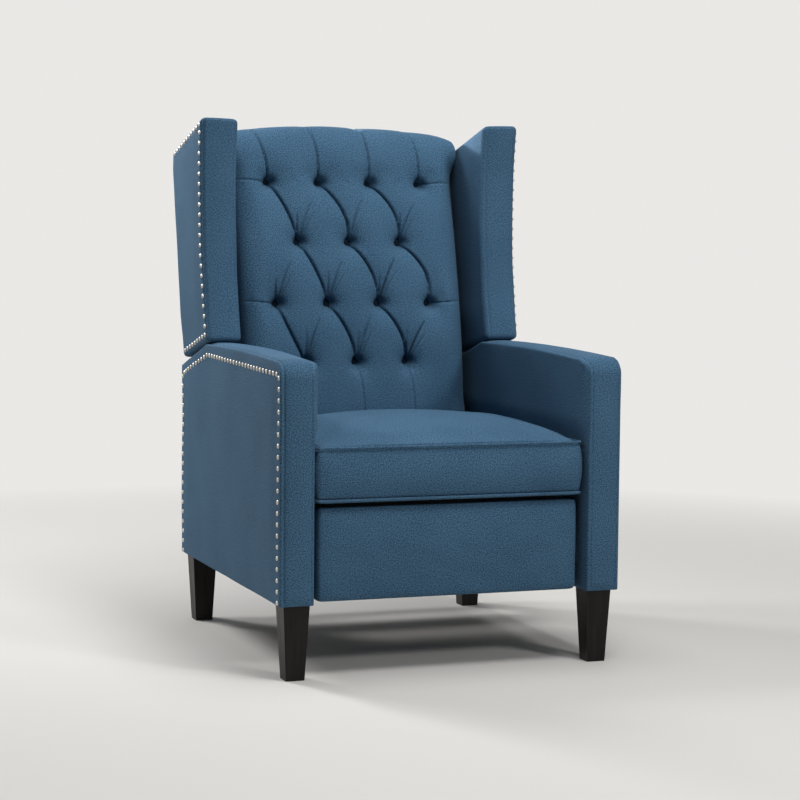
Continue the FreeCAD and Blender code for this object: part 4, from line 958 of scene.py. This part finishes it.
def back_sheet(middle, roll, wall, rows, creased):
    """The stuffed back as a grid of places, from one rear edge round the front to the other: so many columns
    over the front, on each rolled edge and on each side wall. Gives the places, how far along the side view
    each is, and how much each belongs to the rolled edges."""
    turns = np.linspace(0, math.pi / 2, roll + 1)[1:]
    right_x = np.concatenate([BACK_HALF - EDGE_ROLL + EDGE_ROLL * np.sin(turns), np.full(wall, BACK_HALF)])
    right_fold = np.concatenate([1 - np.cos(turns), np.ones(wall)])
    right_rear = np.concatenate([np.zeros(roll), np.linspace(0, 1, wall + 1)[1:]])
    across = np.concatenate([-right_x[::-1], np.linspace(-1, 1, middle) * (BACK_HALF - EDGE_ROLL), right_x])
    fold_back = np.concatenate([right_fold[::-1], np.zeros(middle), right_fold])
    to_rear = np.concatenate([right_rear[::-1], np.zeros(middle), right_rear])
    runs = np.linspace(0, BACK_RUN[-1], rows)
    x, run = np.meshgrid(across, runs)
    back_share, rear_share = np.meshgrid(fold_back, runs)[0], np.meshgrid(to_rear, runs)[0]
    inside = back_share == 0
    cell = runs[1]
    # the grid's lines are drawn to the folds, so that a crease lies on edges
    if creased:
        for line, depth, _, _, _ in folds():
            far, _, _, near_x, near_run = nearest_on(line, x, run)
            caught = inside & (far < 0.5 * cell) & (run > 0) & (run < runs[-1])
            x, run = np.where(caught, near_x, x), np.where(caught, near_run, run)
    by, bz, ry, rz = back_section(run)
    depth = np.hypot(ry - by, rz - bz)
    out_y, out_z = (by - ry) / depth, (bz - rz) / depth
    rise = padding(np.clip(x, -BACK_HALF, BACK_HALF), run, creased)
    # the padding thins over the crest, at the foot and towards the sides
    total = BACK_RUN[-1]
    over = smoothstep(run, total - 0.065, total)
    foot = smoothstep(run, -0.03, 0.05)
    side = smoothstep(BACK_HALF - np.abs(x), 0.0, 0.06)
    crest = smoothstep(run, total - 0.16, total - 0.09)
    rise *= (1 - 0.86 * over) * (0.45 + 0.55 * foot) * (1 - (0.5 - 0.4 * crest) * (1 - side))
    turned = (0.78 - 0.68 * crest) * depth * back_share * (1 - rear_share)
    # the sides are drawn in below the crest
    drawn_in = smoothstep(run, 0.0, 0.12) * (1 - smoothstep(run, total - 0.20, total - 0.08))
    x = x - np.sign(x) * 0.011 * drawn_in * smoothstep(np.abs(x), 0.19, BACK_HALF)
    height = rise * (1 - back_share * (1 - 0.9 * crest)) - turned - depth * rear_share
    y, z = by + out_y * height, bz + out_z * height
    z = z - 0.023 * (x / BACK_HALF) ** 2 * smoothstep(z, 0.95, 1.05)
    return np.stack([x, y, z], axis=-1), run, back_share


def sheet_faces(rows, columns):
    """The faces of a grid of places that are listed row after row."""
    return [(r * columns + c, r * columns + c + 1, (r + 1) * columns + c + 1, (r + 1) * columns + c)
            for r in range(rows - 1) for c in range(columns - 1)]


def closed_sheet(name, places, material):
    """A grid of places as a closed piece: a strip across its rear, and its foot and head filled."""
    rows, columns = places.shape[:2]
    faces = sheet_faces(rows, columns)
    faces += [(r * columns + columns - 1, r * columns, (r + 1) * columns, (r + 1) * columns + columns - 1)
              for r in range(rows - 1)]
    faces.append(tuple(reversed(range(columns))))
    faces.append(tuple(range((rows - 1) * columns, rows * columns)))
    return new_piece(name, material, places.reshape(-1, 3), faces)


def finer(field):
    """A grid of values with a new row and column between each two."""
    for axis in (0, 1):
        field = np.swapaxes(field, 0, axis)
        wide = np.zeros((2 * field.shape[0] - 1, *field.shape[1:]))
        wide[::2] = field
        wide[1::2] = (field[:-1] + field[1:]) / 2
        field = np.swapaxes(wide, 0, axis)
    return field


def stuffed_shift(middle, roll, wall, rows):
    """How the padding between the buttons swells when the stuffing presses the cloth out."""
    coarse, run, rolled = back_sheet(middle, roll, wall, rows, False)
    trial = new_piece("back_trial", linen(), coarse.reshape(-1, 3), sheet_faces(*coarse.shape[:2]))
    x = coarse[..., 0]
    held = np.where(rolled > 0.3, 1.0, 0.0)
    held[0], held[-1] = 1.0, 1.0
    for bx, br in button_places():
        held = np.maximum(held, 1 - smoothstep(np.hypot(x - bx, run - br), 0.006, 0.014))
    for line, depth, taken, _, _ in folds():
        if taken > 0.25:
            far = nearest_on(line, x, run)[0]
            held = np.maximum(held, 0.7 * (1 - smoothstep(far, 0.002, 0.007)))
    swell(trial, held.ravel(), 4.0, 0.0035)
    shift = points_of(trial).reshape(coarse.shape) - coarse
    bpy.data.objects.remove(trial)
    return shift


def dress_back():
    """The deep-buttoned back cushion, padded over its top edge, and its covered buttons."""
    middle, roll, wall, rows = 121, 8, 3, 195
    places = back_sheet(2 * middle - 1, 2 * roll, 2 * wall, 2 * rows - 1, True)[0]
    places += finer(stuffed_shift(middle, roll, wall, rows))
    cushion = closed_sheet("buttoned_back", places, linen())
    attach(cushion, "back")
    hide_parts("back_cushion")
    spots, normals = [], []
    for x, run in button_places():
        by, bz, ry, rz = [float(value) for value in back_section(run)]
        outward = Vector((0.0, by - ry, bz - rz)).normalized()
        spots.append(Vector((x, by, bz)) - outward * BUTTON_SUNK)
        normals.append(outward)
    # the buttons' cloth is darkened in its colour as painted shade of their pits
    buttons = domes("covered_buttons", spots, normals, trim().button_radius, BUTTON_RISE, button_cloth_painted_shade(),
                    rim=0.35, rings=5, sides=20)
    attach(buttons, "back")
    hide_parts("back_buttons")


# Seat

SEAT_HALF, SEAT_FRONT, SEAT_REAR = 0.275, -0.386, 0.158
SEAT_FOOT, SEAT_WELT, SEAT_CREST = 0.344, 0.440, 0.479
# how far the boxing hangs below the cushion's foot at the front, and where the lower welt lies
SEAT_APRON = 0.011
LOW_WELT = SEAT_FOOT - 0.004
# share of the depth at which the crown is highest
SEAT_PEAK = 0.38
GROOVE = 0.0042
# by how much the upper welt's radius is less than the lower's
WELT_STEP = 0.0009


def seat_top(x, y):
    """Crown of the seat cushion over the plan."""
    across = np.clip(1 - np.abs(x / SEAT_HALF) ** 3.6, 0, 1)
    run = np.clip((y - SEAT_FRONT) / (SEAT_REAR - SEAT_FRONT), 0, 1)
    ahead = np.clip(1 - run / SEAT_PEAK, 0, 1)
    behind = np.clip((run - SEAT_PEAK) / (1 - SEAT_PEAK), 0, 1)
    along = 1 - ahead ** 3.4 - 0.85 * behind ** 2
    return SEAT_WELT + (SEAT_CREST - SEAT_WELT) * along * (0.06 + 0.94 * across)


def welt_ring(half, front, rear, height, corner=0.009):
    """A line round the front and both sides of a cushion at a height."""
    turns = np.linspace(0, math.pi / 2, 5)
    left = [(-half + corner - corner * math.cos(t), front + corner - corner * math.sin(t), height)
            for t in turns]
    right = [(-x, y, z) for x, y, z in reversed(left)]
    return ([(-half, y, height) for y in np.linspace(rear, front + 0.02, 24)] + left
            + [(x, front, height) for x in np.linspace(-half + 0.02, half - 0.02, 36)] + right
            + [(half, y, height) for y in np.linspace(front + 0.02, rear, 24)])


def dress_seat():
    """The welted seat cushion: a crowned top panel, a boxing that bulges, and a welt round both seams."""
    half, front, foot = SEAT_HALF - 0.0035, SEAT_FRONT + 0.001, SEAT_FOOT + 0.001
    outline = [(front, foot - SEAT_APRON), (front, SEAT_WELT), (SEAT_REAR, SEAT_WELT), (SEAT_REAR, foot),
               (front + 0.016, foot), (front + 0.014, foot - SEAT_APRON)]
    data = padded_block("seat_block", outline, -half, half, 0.006, 0.012)
    seat = link_piece("seat_cushion_cover", data, linen())
    places = points_of(seat)
    high = smoothstep(places[:, 2], SEAT_WELT - 0.004, SEAT_WELT)
    places[:, 2] += (seat_top(places[:, 0], places[:, 1]) - SEAT_WELT) * high
    put_points(seat, places)
    voxel_piece(seat, fabric().voxel)
    x, y, z = points_of(seat).T
    rim = np.minimum(y - front, half - np.abs(x))
    sewn = (rim < 0.010) & ((np.abs(z - SEAT_WELT) < 0.0045) | (np.abs(z - LOW_WELT) < 0.0045))
    held = np.where(sewn | (z < SEAT_FOOT + 0.004) | (y > SEAT_REAR - 0.014), 1.0, 0.0)
    swell(seat, held, 3.0, 0.010)
    refine(seat)
    places = points_of(seat)
    x, y, z = places.T
    # both seams lie in a fine groove, and the sides stay clear of the arms
    rim = np.minimum(y - front, half - np.abs(x))
    for seam in (SEAT_WELT, LOW_WELT):
        groove = GROOVE * ridge(z, seam, GROOVE) * (1 - smoothstep(rim, 0.0, 0.02))
        facing_front = smoothstep((half - np.abs(x)) - (y - front), -0.004, 0.004)
        places[:, 1] += groove * facing_front
        places[:, 0] -= np.sign(x) * groove * (1 - facing_front)
    # the boxing is fuller halfway between the seams
    climb = np.clip((z - LOW_WELT) / (SEAT_WELT - LOW_WELT), 0, 1)
    full = np.sin(climb * math.pi) * (1 - smoothstep(rim, 0.0, 0.03))
    places[:, 0] += np.sign(x) * 0.0055 * full * (half - np.abs(x) < 0.012)
    places[:, 1] -= 0.0030 * full * (y - front < 0.012)
    clear = SEAT_HALF + 0.0040
    places[:, 0] = np.clip(places[:, 0], -clear, clear)
    wander = drift(places * np.array([1.0, 1.0, 1.6]), 0.085, 41) * 0.0007
    places[:, 1] += wander * (z < SEAT_WELT - 0.008) * (z > LOW_WELT + 0.008)
    put_points(seat, places)
    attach(seat, "seat")
    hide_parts("seat_cushion")
    low_radius = trim().welt_radius
    welts = (("seat_welt_high", SEAT_WELT, low_radius - WELT_STEP), ("seat_welt_low", LOW_WELT, low_radius))
    for name, height, radius in welts:
        path = welt_ring(half + 0.0008, front - 0.0008, SEAT_REAR - 0.012, height)
        welt = cord_mesh(name, path, radius, linen())
        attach(welt, "seat")


# Footrest

def dress_footrest():
    """The padded footrest panel."""
    half = SEAT_HALF - 0.005
    front, head = PAD_FRONT + 0.006, PAD_HEAD - 0.011
    outline = [(front, PAD_FOOT), (front, head), (PAD_REAR, head), (PAD_REAR, PAD_FOOT)]
    data = padded_block("footrest_block", outline, -half, half, 0.009, 0.012)
    pad = link_piece("footrest_cover", data, linen())
    voxel_piece(pad, fabric().voxel)
    x, y, z = points_of(pad).T
    edge = np.minimum(np.minimum(half - np.abs(x), head - z), z - PAD_FOOT)
    held = np.where((y > front + 0.012) | (edge < 0.004), 1.0, 0.25 * (1 - smoothstep(edge, 0.004, 0.03)))
    swell(pad, held, 3.0, 0.007)
    refine(pad)
    places = points_of(pad)
    face = 1 - smoothstep(places[:, 1], front + 0.002, front + 0.012)
    places[:, 1] += 0.0009 * drift(places * np.array([1.0, 1.0, 2.2]), 0.09, 31) * face
    put_points(pad, places)
    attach(pad, "footrest")
    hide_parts("footrest_pad")


# Rear of the back

# side view of the rear cover's outer face: foot, step where it widens, head
REAR_FACE = ((0.260, 0.2365), (0.2859, 0.3845), (0.3986, 1.0305))
REAR_STEP = (0.380, 0.396)
REAR_HALF_LOW, REAR_HALF = 0.2385, 0.2745
REAR_CORNER = 0.010
# thickness of the cover, how far it bulges and how deep its side seams lie
REAR_THICK, REAR_BULGE, REAR_SEAM = 0.0022, 0.0055, 0.0022


def rear_ring(z):
    """One level of the rear cover: from its left front edge back, across and forward again."""
    ys, zs = zip(*REAR_FACE)
    rear = float(np.interp(z, zs, ys))
    share = float(smoothstep(np.array(z), *REAR_STEP))
    half = REAR_HALF_LOW + (REAR_HALF - REAR_HALF_LOW) * share
    rear_line = np.array(REAR_LINE[:8])
    cushion = float(np.interp(z, rear_line[:, 1], rear_line[:, 0]))
    front = rear - 0.010 + (cushion + 0.003 - rear + 0.010) * share
    corner = REAR_CORNER
    side = [(-half, y) for y in np.linspace(front, rear - corner, 8)]
    turn = [(-half + corner - corner * math.cos(t), rear - corner + corner * math.sin(t))
            for t in np.linspace(0, math.pi / 2, 6)[1:]]
    flat = [(x, rear) for x in np.linspace(-half + corner, half - corner, 45)[1:-1]]
    return side + turn + flat + [(-x, y) for x, y in reversed(side + turn)]


def dress_rear():
    """The padded cover of the rear of the back, which wraps round both sides to the cushion."""
    # narrow foot, step, broad upper part
    levels = np.concatenate([np.linspace(0.2385, 0.378, 12), np.linspace(0.382, 0.398, 6),
                             np.linspace(0.410, 1.024, 50)])
    rings = [rear_ring(z) for z in levels]
    count = len(rings[0])
    foot, head = levels[0], levels[-1]
    outer, inner = [], []
    for z, ring in zip(levels, rings):
        half = max(x for x, _ in ring)
        depth = max(y for _, y in ring)
        for x, y in ring:
            rise = min((z - foot) / 0.10, 1.0, (head - z) / 0.09)
            full = REAR_BULGE * math.sin(max(rise, 0.0) * math.pi / 2) * max(0.0, 1 - abs(x / half) ** 5)
            on_face = 1.0 if y > depth - 0.002 else 0.0
            seam = REAR_SEAM * math.exp(-((abs(x) - half + 0.016) / 0.0022) ** 2)
            outer.append((x, y + (full - seam) * on_face, z))
            inner.append((x * (1 - REAR_THICK / half), y - REAR_THICK * 1.6 * on_face, z))
    places = np.array(outer + inner)
    places[:, 1] += np.where(places[:, 1] > 0, 1, 0) * 0.0007 * drift(places, 0.15, 77)
    rows, size = len(levels), len(outer)
    faces = [tuple(reversed(face)) for face in sheet_faces(rows, count)]
    faces += [tuple(index + size for index in face) for face in sheet_faces(rows, count)]
    for r in range(rows - 1):
        a, b = r * count, (r + 1) * count
        faces.append((a, b, b + size, a + size))
        faces.append((b + count - 1, a + count - 1, a + count - 1 + size, b + count - 1 + size))
    last = (rows - 1) * count
    for c in range(count - 1):
        faces.append((c, c + size, c + 1 + size, c + 1))
        faces.append((last + c, last + c + 1, last + c + 1 + size, last + c + size))
    cover = new_piece("rear_cover", linen(), places, faces)
    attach(cover, "back")
    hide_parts("back_outer_panel")


# Cloth between seat and back

PULL_IN = ((0.166, 0.3452), (0.186, 0.3450), (0.1945, 0.333), (0.202, 0.324), (0.210, 0.330), (0.2135, 0.350),
           (0.2140, 0.3905))
PULL_HALF = 0.236


def dress_pull_in():
    """The slack cloth that closes the gap between the seat frame and the foot of the back."""
    _, line, _ = smooth_line(PULL_IN, 33)
    across = np.linspace(-PULL_HALF, PULL_HALF, 41)
    places = [(x, y, z) for y, z in line for x in across]
    cloth = new_piece("pull_in_cloth", strap_cloth(), places, sheet_faces(len(line), len(across)))
    layer = cloth.modifiers.new("thickness", "SOLIDIFY")
    layer.thickness = 0.0012
    apply_modifiers(cloth)
    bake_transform(cloth)


# Wood and metal that show as they are

def finish_nodes():
    """Give every carried-over node its finish."""
    for name, obj in NODES.items():
        if obj.hide_render:
            continue
        if name.startswith("leg_") and name != "leg_bolts":
            chosen = espresso()
        elif "webbing" in name or name in ("seat_front_rail", "wing_blocks"):
            chosen = strap_cloth()
        elif name in ("rear_rail", "front_rail"):
            chosen = linen()
        elif "rivets" in name or name == "leg_bolts":
            chosen = bright_steel()
        elif "link" in name or "plate" in name or "bracket" in name or "tube" in name:
            chosen = steel()
        elif "stiles" in name or "posts" in name or "blocks" in name:
            chosen = timber("frame_timber_upright", (1.0, 1.0, 0.06))
        elif "side" in name or "arm_" in name:
            chosen = timber("frame_timber_deep", (1.0, 0.06, 1.0))
        else:
            chosen = timber()
        obj.data.materials.clear()
        obj.data.materials.append(chosen)


# Stage

# name, place, aim, size and power of each lamp
LAMPS = (("key", (1.25, -2.7, 1.95), (0.0, 0.0, 0.6), 0.5, 27.0),
         ("high", (0.2, -1.25, 2.65), (0.0, 0.0, 0.6), 0.9, 32.0),
         ("window", (-1.55, 2.3, 1.85), (0.0, 0.0, 0.8), 0.6, 40.0),
         ("side", (-1.15, 0.9, 1.95), (0.0, 0.1, 0.95), 0.6, 17.0),
         ("top", (0.1, -0.1, 2.9), (0.0, 0.0, 0.4), 1.3, 21.0),
         ("rear", (1.2, 3.0, 2.2), (0.0, 0.0, 0.6), 2.4, 12.0))
RIM_PLACE, RIM_AIM, RIM_POWER = (-1.3, 2.4, 1.75), (0.27, 0.2, 1.03), 420.0
# the camera of the photograph: turn, tilt and roll in degrees, place, and lens in millimetres
CAMERA_TURN, CAMERA_TILT, CAMERA_ROLL = -20.0744, 4.3631, 0.515
CAMERA_PLACE, CAMERA_LENS = (-1.483927, -4.149, 0.835368), 95.08


def backdrop_material():
    """Pale paper round the chair, which fades to an even pale ground where the camera looks past it."""
    chosen = bpy.context.scene.recliner_studio
    material = bpy.data.materials.new("studio_paper")
    material.use_nodes = True
    wires = Wiring(material.node_tree)
    surface = material.node_tree.nodes["Principled BSDF"]
    surface.inputs["Base Color"].default_value = opaque(chosen.floor_colour)
    surface.inputs["Roughness"].default_value = 0.9
    surface.inputs["Specular IOR Level"].default_value = 0.1
    place = wires.node("ShaderNodeTexCoord").outputs["Object"]
    radius = wires.node("ShaderNodeVectorMath", {0: place}, operation="LENGTH").outputs["Value"]
    seen = wires.node("ShaderNodeLightPath").outputs["Is Camera Ray"]
    share = wires.math("MULTIPLY", wires.ramp(radius, 0.9, 2.8), seen)
    ground = wires.node("ShaderNodeEmission", {"Color": opaque(chosen.ground_colour), "Strength": 1.0})
    both = wires.node("ShaderNodeMixShader", {0: share, 1: surface.outputs[0], 2: ground.outputs[0]})
    wires.feed(material.node_tree.nodes["Material Output"].inputs["Surface"], both.outputs[0])
    return material


def hang_lamp(light, place, aim):
    """Put a lamp in the scene, pointing at a place."""
    lamp = bpy.data.objects.new("lamp_" + light.name, light)
    lamp.location = place
    lamp.rotation_euler = (Vector(aim) - Vector(place)).to_track_quat("-Z", "Y").to_euler()
    bpy.context.scene.collection.objects.link(lamp)


def studio():
    """Floor, lamps and air."""
    sides = 64
    places = [(0.0, 0.0, 0.0)]
    faces = []
    for ring, radius in enumerate((1.5, 5.0, 40.0)):
        places += [(radius * math.cos(2 * math.pi * k / sides), radius * math.sin(2 * math.pi * k / sides),
                    0.0) for k in range(sides)]
        for k in range(sides):
            here, there = 1 + ring * sides + k, 1 + ring * sides + (k + 1) % sides
            faces.append((0, here, there) if ring == 0 else (here - sides, here, there, there - sides))
    floor = new_piece("studio_floor", backdrop_material(), places, faces)
    chosen = bpy.context.scene.recliner_studio
    for name, place, aim, size, power in LAMPS:
        light = bpy.data.lights.new(name, "AREA")
        light.shape = "DISK"
        light.size = size
        light.energy = power * chosen.light_level
        hang_lamp(light, place, aim)
    rim = bpy.data.lights.new("rim", "SPOT")
    rim.energy = RIM_POWER * chosen.light_level
    rim.spot_size, rim.spot_blend = math.radians(16), 0.7
    rim.shadow_soft_size = 0.08
    hang_lamp(rim, RIM_PLACE, RIM_AIM)
    world = bpy.data.worlds.new("studio_air")
    world.use_nodes = True
    bpy.context.scene.world = world
    wires = Wiring(world.node_tree)
    air = world.node_tree.nodes["Background"]
    air.inputs["Color"].default_value = (0.90, 0.95, 1.0, 1.0)
    air.inputs["Strength"].default_value = 0.14
    ground = wires.node("ShaderNodeBackground", {"Color": opaque(chosen.ground_colour), "Strength": 1.0})
    path = wires.node("ShaderNodeLightPath")
    seen = wires.math("MAXIMUM", path.outputs["Is Camera Ray"], path.outputs["Is Glossy Ray"])
    both = wires.node("ShaderNodeMixShader", {0: seen, 1: air.outputs[0], 2: ground.outputs[0]})
    wires.feed(world.node_tree.nodes["World Output"].inputs["Surface"], both.outputs[0])
    bpy.context.scene.view_settings.view_transform = "Standard"


def set_camera():
    """A camera where the photograph was taken from."""
    turn, tilt, roll = math.radians(CAMERA_TURN), math.radians(CAMERA_TILT), math.radians(CAMERA_ROLL)
    back = Vector((math.sin(turn) * math.cos(tilt), -math.cos(turn) * math.cos(tilt), math.sin(tilt)))
    right = (-back).cross(Vector((0, 0, 1))).normalized()
    up = right.cross(-back)
    level_right = right * math.cos(roll) + up * math.sin(roll)
    level_up = up * math.cos(roll) - right * math.sin(roll)
    camera = bpy.data.cameras.new("photo_view")
    camera.sensor_fit = "HORIZONTAL"
    camera.sensor_width = 36.0
    camera.lens = CAMERA_LENS
    camera.clip_end = 50.0
    view = bpy.data.objects.new("photo_view", camera)
    basis = Matrix((level_right, level_up, back)).transposed().to_4x4()
    basis.translation = CAMERA_PLACE
    view.matrix_world = basis
    bpy.context.scene.collection.objects.link(view)
    bpy.context.scene.camera = view


# Operators, one for each piece or group of like pieces

class RECLINER_OT_arms(bpy.types.Operator):
    """Cover both arms and drive their rows of nails"""
    bl_idname = "recliner.arms"
    bl_label = "Arms"

    def execute(self, context):
        for side in (1, -1):
            dress_arm(side)
        return {"FINISHED"}


class RECLINER_OT_wings(bpy.types.Operator):
    """Cover both wings and drive their rows of nails"""
    bl_idname = "recliner.wings"
    bl_label = "Wings"

    def execute(self, context):
        for side in (1, -1):
            dress_wing(side)
        return {"FINISHED"}


class RECLINER_OT_back(bpy.types.Operator):
    """Button the back cushion"""
    bl_idname = "recliner.back"
    bl_label = "Buttoned back"

    def execute(self, context):
        dress_back()
        return {"FINISHED"}


class RECLINER_OT_seat(bpy.types.Operator):
    """Stuff and welt the seat cushion"""
    bl_idname = "recliner.seat"
    bl_label = "Seat cushion"

    def execute(self, context):
        dress_seat()
        return {"FINISHED"}


class RECLINER_OT_footrest(bpy.types.Operator):
    """Pad the footrest panel"""
    bl_idname = "recliner.footrest"
    bl_label = "Footrest"

    def execute(self, context):
        dress_footrest()
        return {"FINISHED"}


class RECLINER_OT_rear(bpy.types.Operator):
    """Cover the rear of the back"""
    bl_idname = "recliner.rear"
    bl_label = "Rear cover"

    def execute(self, context):
        dress_rear()
        return {"FINISHED"}


class RECLINER_OT_pull_in(bpy.types.Operator):
    """Hang the cloth between seat and back"""
    bl_idname = "recliner.pull_in"
    bl_label = "Pull-in cloth"

    def execute(self, context):
        dress_pull_in()
        return {"FINISHED"}


class RECLINER_OT_frame(bpy.types.Operator):
    """Finish the legs, frame timber, webbing and steel"""
    bl_idname = "recliner.frame"
    bl_label = "Legs and frame"

    def execute(self, context):
        finish_nodes()
        return {"FINISHED"}


class RECLINER_OT_stage(bpy.types.Operator):
    """Set up floor, lamps and camera"""
    bl_idname = "recliner.stage"
    bl_label = "Stage"

    def execute(self, context):
        studio()
        set_camera()
        return {"FINISHED"}


STEPS = (RECLINER_OT_arms, RECLINER_OT_wings, RECLINER_OT_back, RECLINER_OT_seat, RECLINER_OT_footrest,
         RECLINER_OT_rear, RECLINER_OT_pull_in, RECLINER_OT_frame, RECLINER_OT_stage)


class RECLINER_PT_panel(bpy.types.Panel):
    """Lists the settings and the steps"""
    bl_idname = "RECLINER_PT_panel"
    bl_label = "Recliner"
    bl_space_type = "VIEW_3D"
    bl_region_type = "UI"
    bl_category = "Recliner"

    def draw(self, context):
        for group, kind in GROUPS.items():
            box = self.layout.box()
            for key in kind.__annotations__:
                box.prop(getattr(context.scene, group), key)
        for step in STEPS:
            self.layout.operator(step.bl_idname)


def register():
    for group, kind in GROUPS.items():
        bpy.utils.register_class(kind)
        setattr(bpy.types.Scene, group, PointerProperty(type=kind))
    for step in STEPS:
        bpy.utils.register_class(step)
    bpy.utils.register_class(RECLINER_PT_panel)


def unregister():
    bpy.utils.unregister_class(RECLINER_PT_panel)
    for step in reversed(STEPS):
        bpy.utils.unregister_class(step)
    for group, kind in GROUPS.items():
        delattr(bpy.types.Scene, group)
        bpy.utils.unregister_class(kind)


def main():
    register()
    bpy.ops.recliner.arms()
    bpy.ops.recliner.wings()
    bpy.ops.recliner.back()
    bpy.ops.recliner.seat()
    bpy.ops.recliner.footrest()
    bpy.ops.recliner.rear()
    bpy.ops.recliner.pull_in()
    bpy.ops.recliner.frame()
    bpy.ops.recliner.stage()


if __name__ == "__main__":
    main()
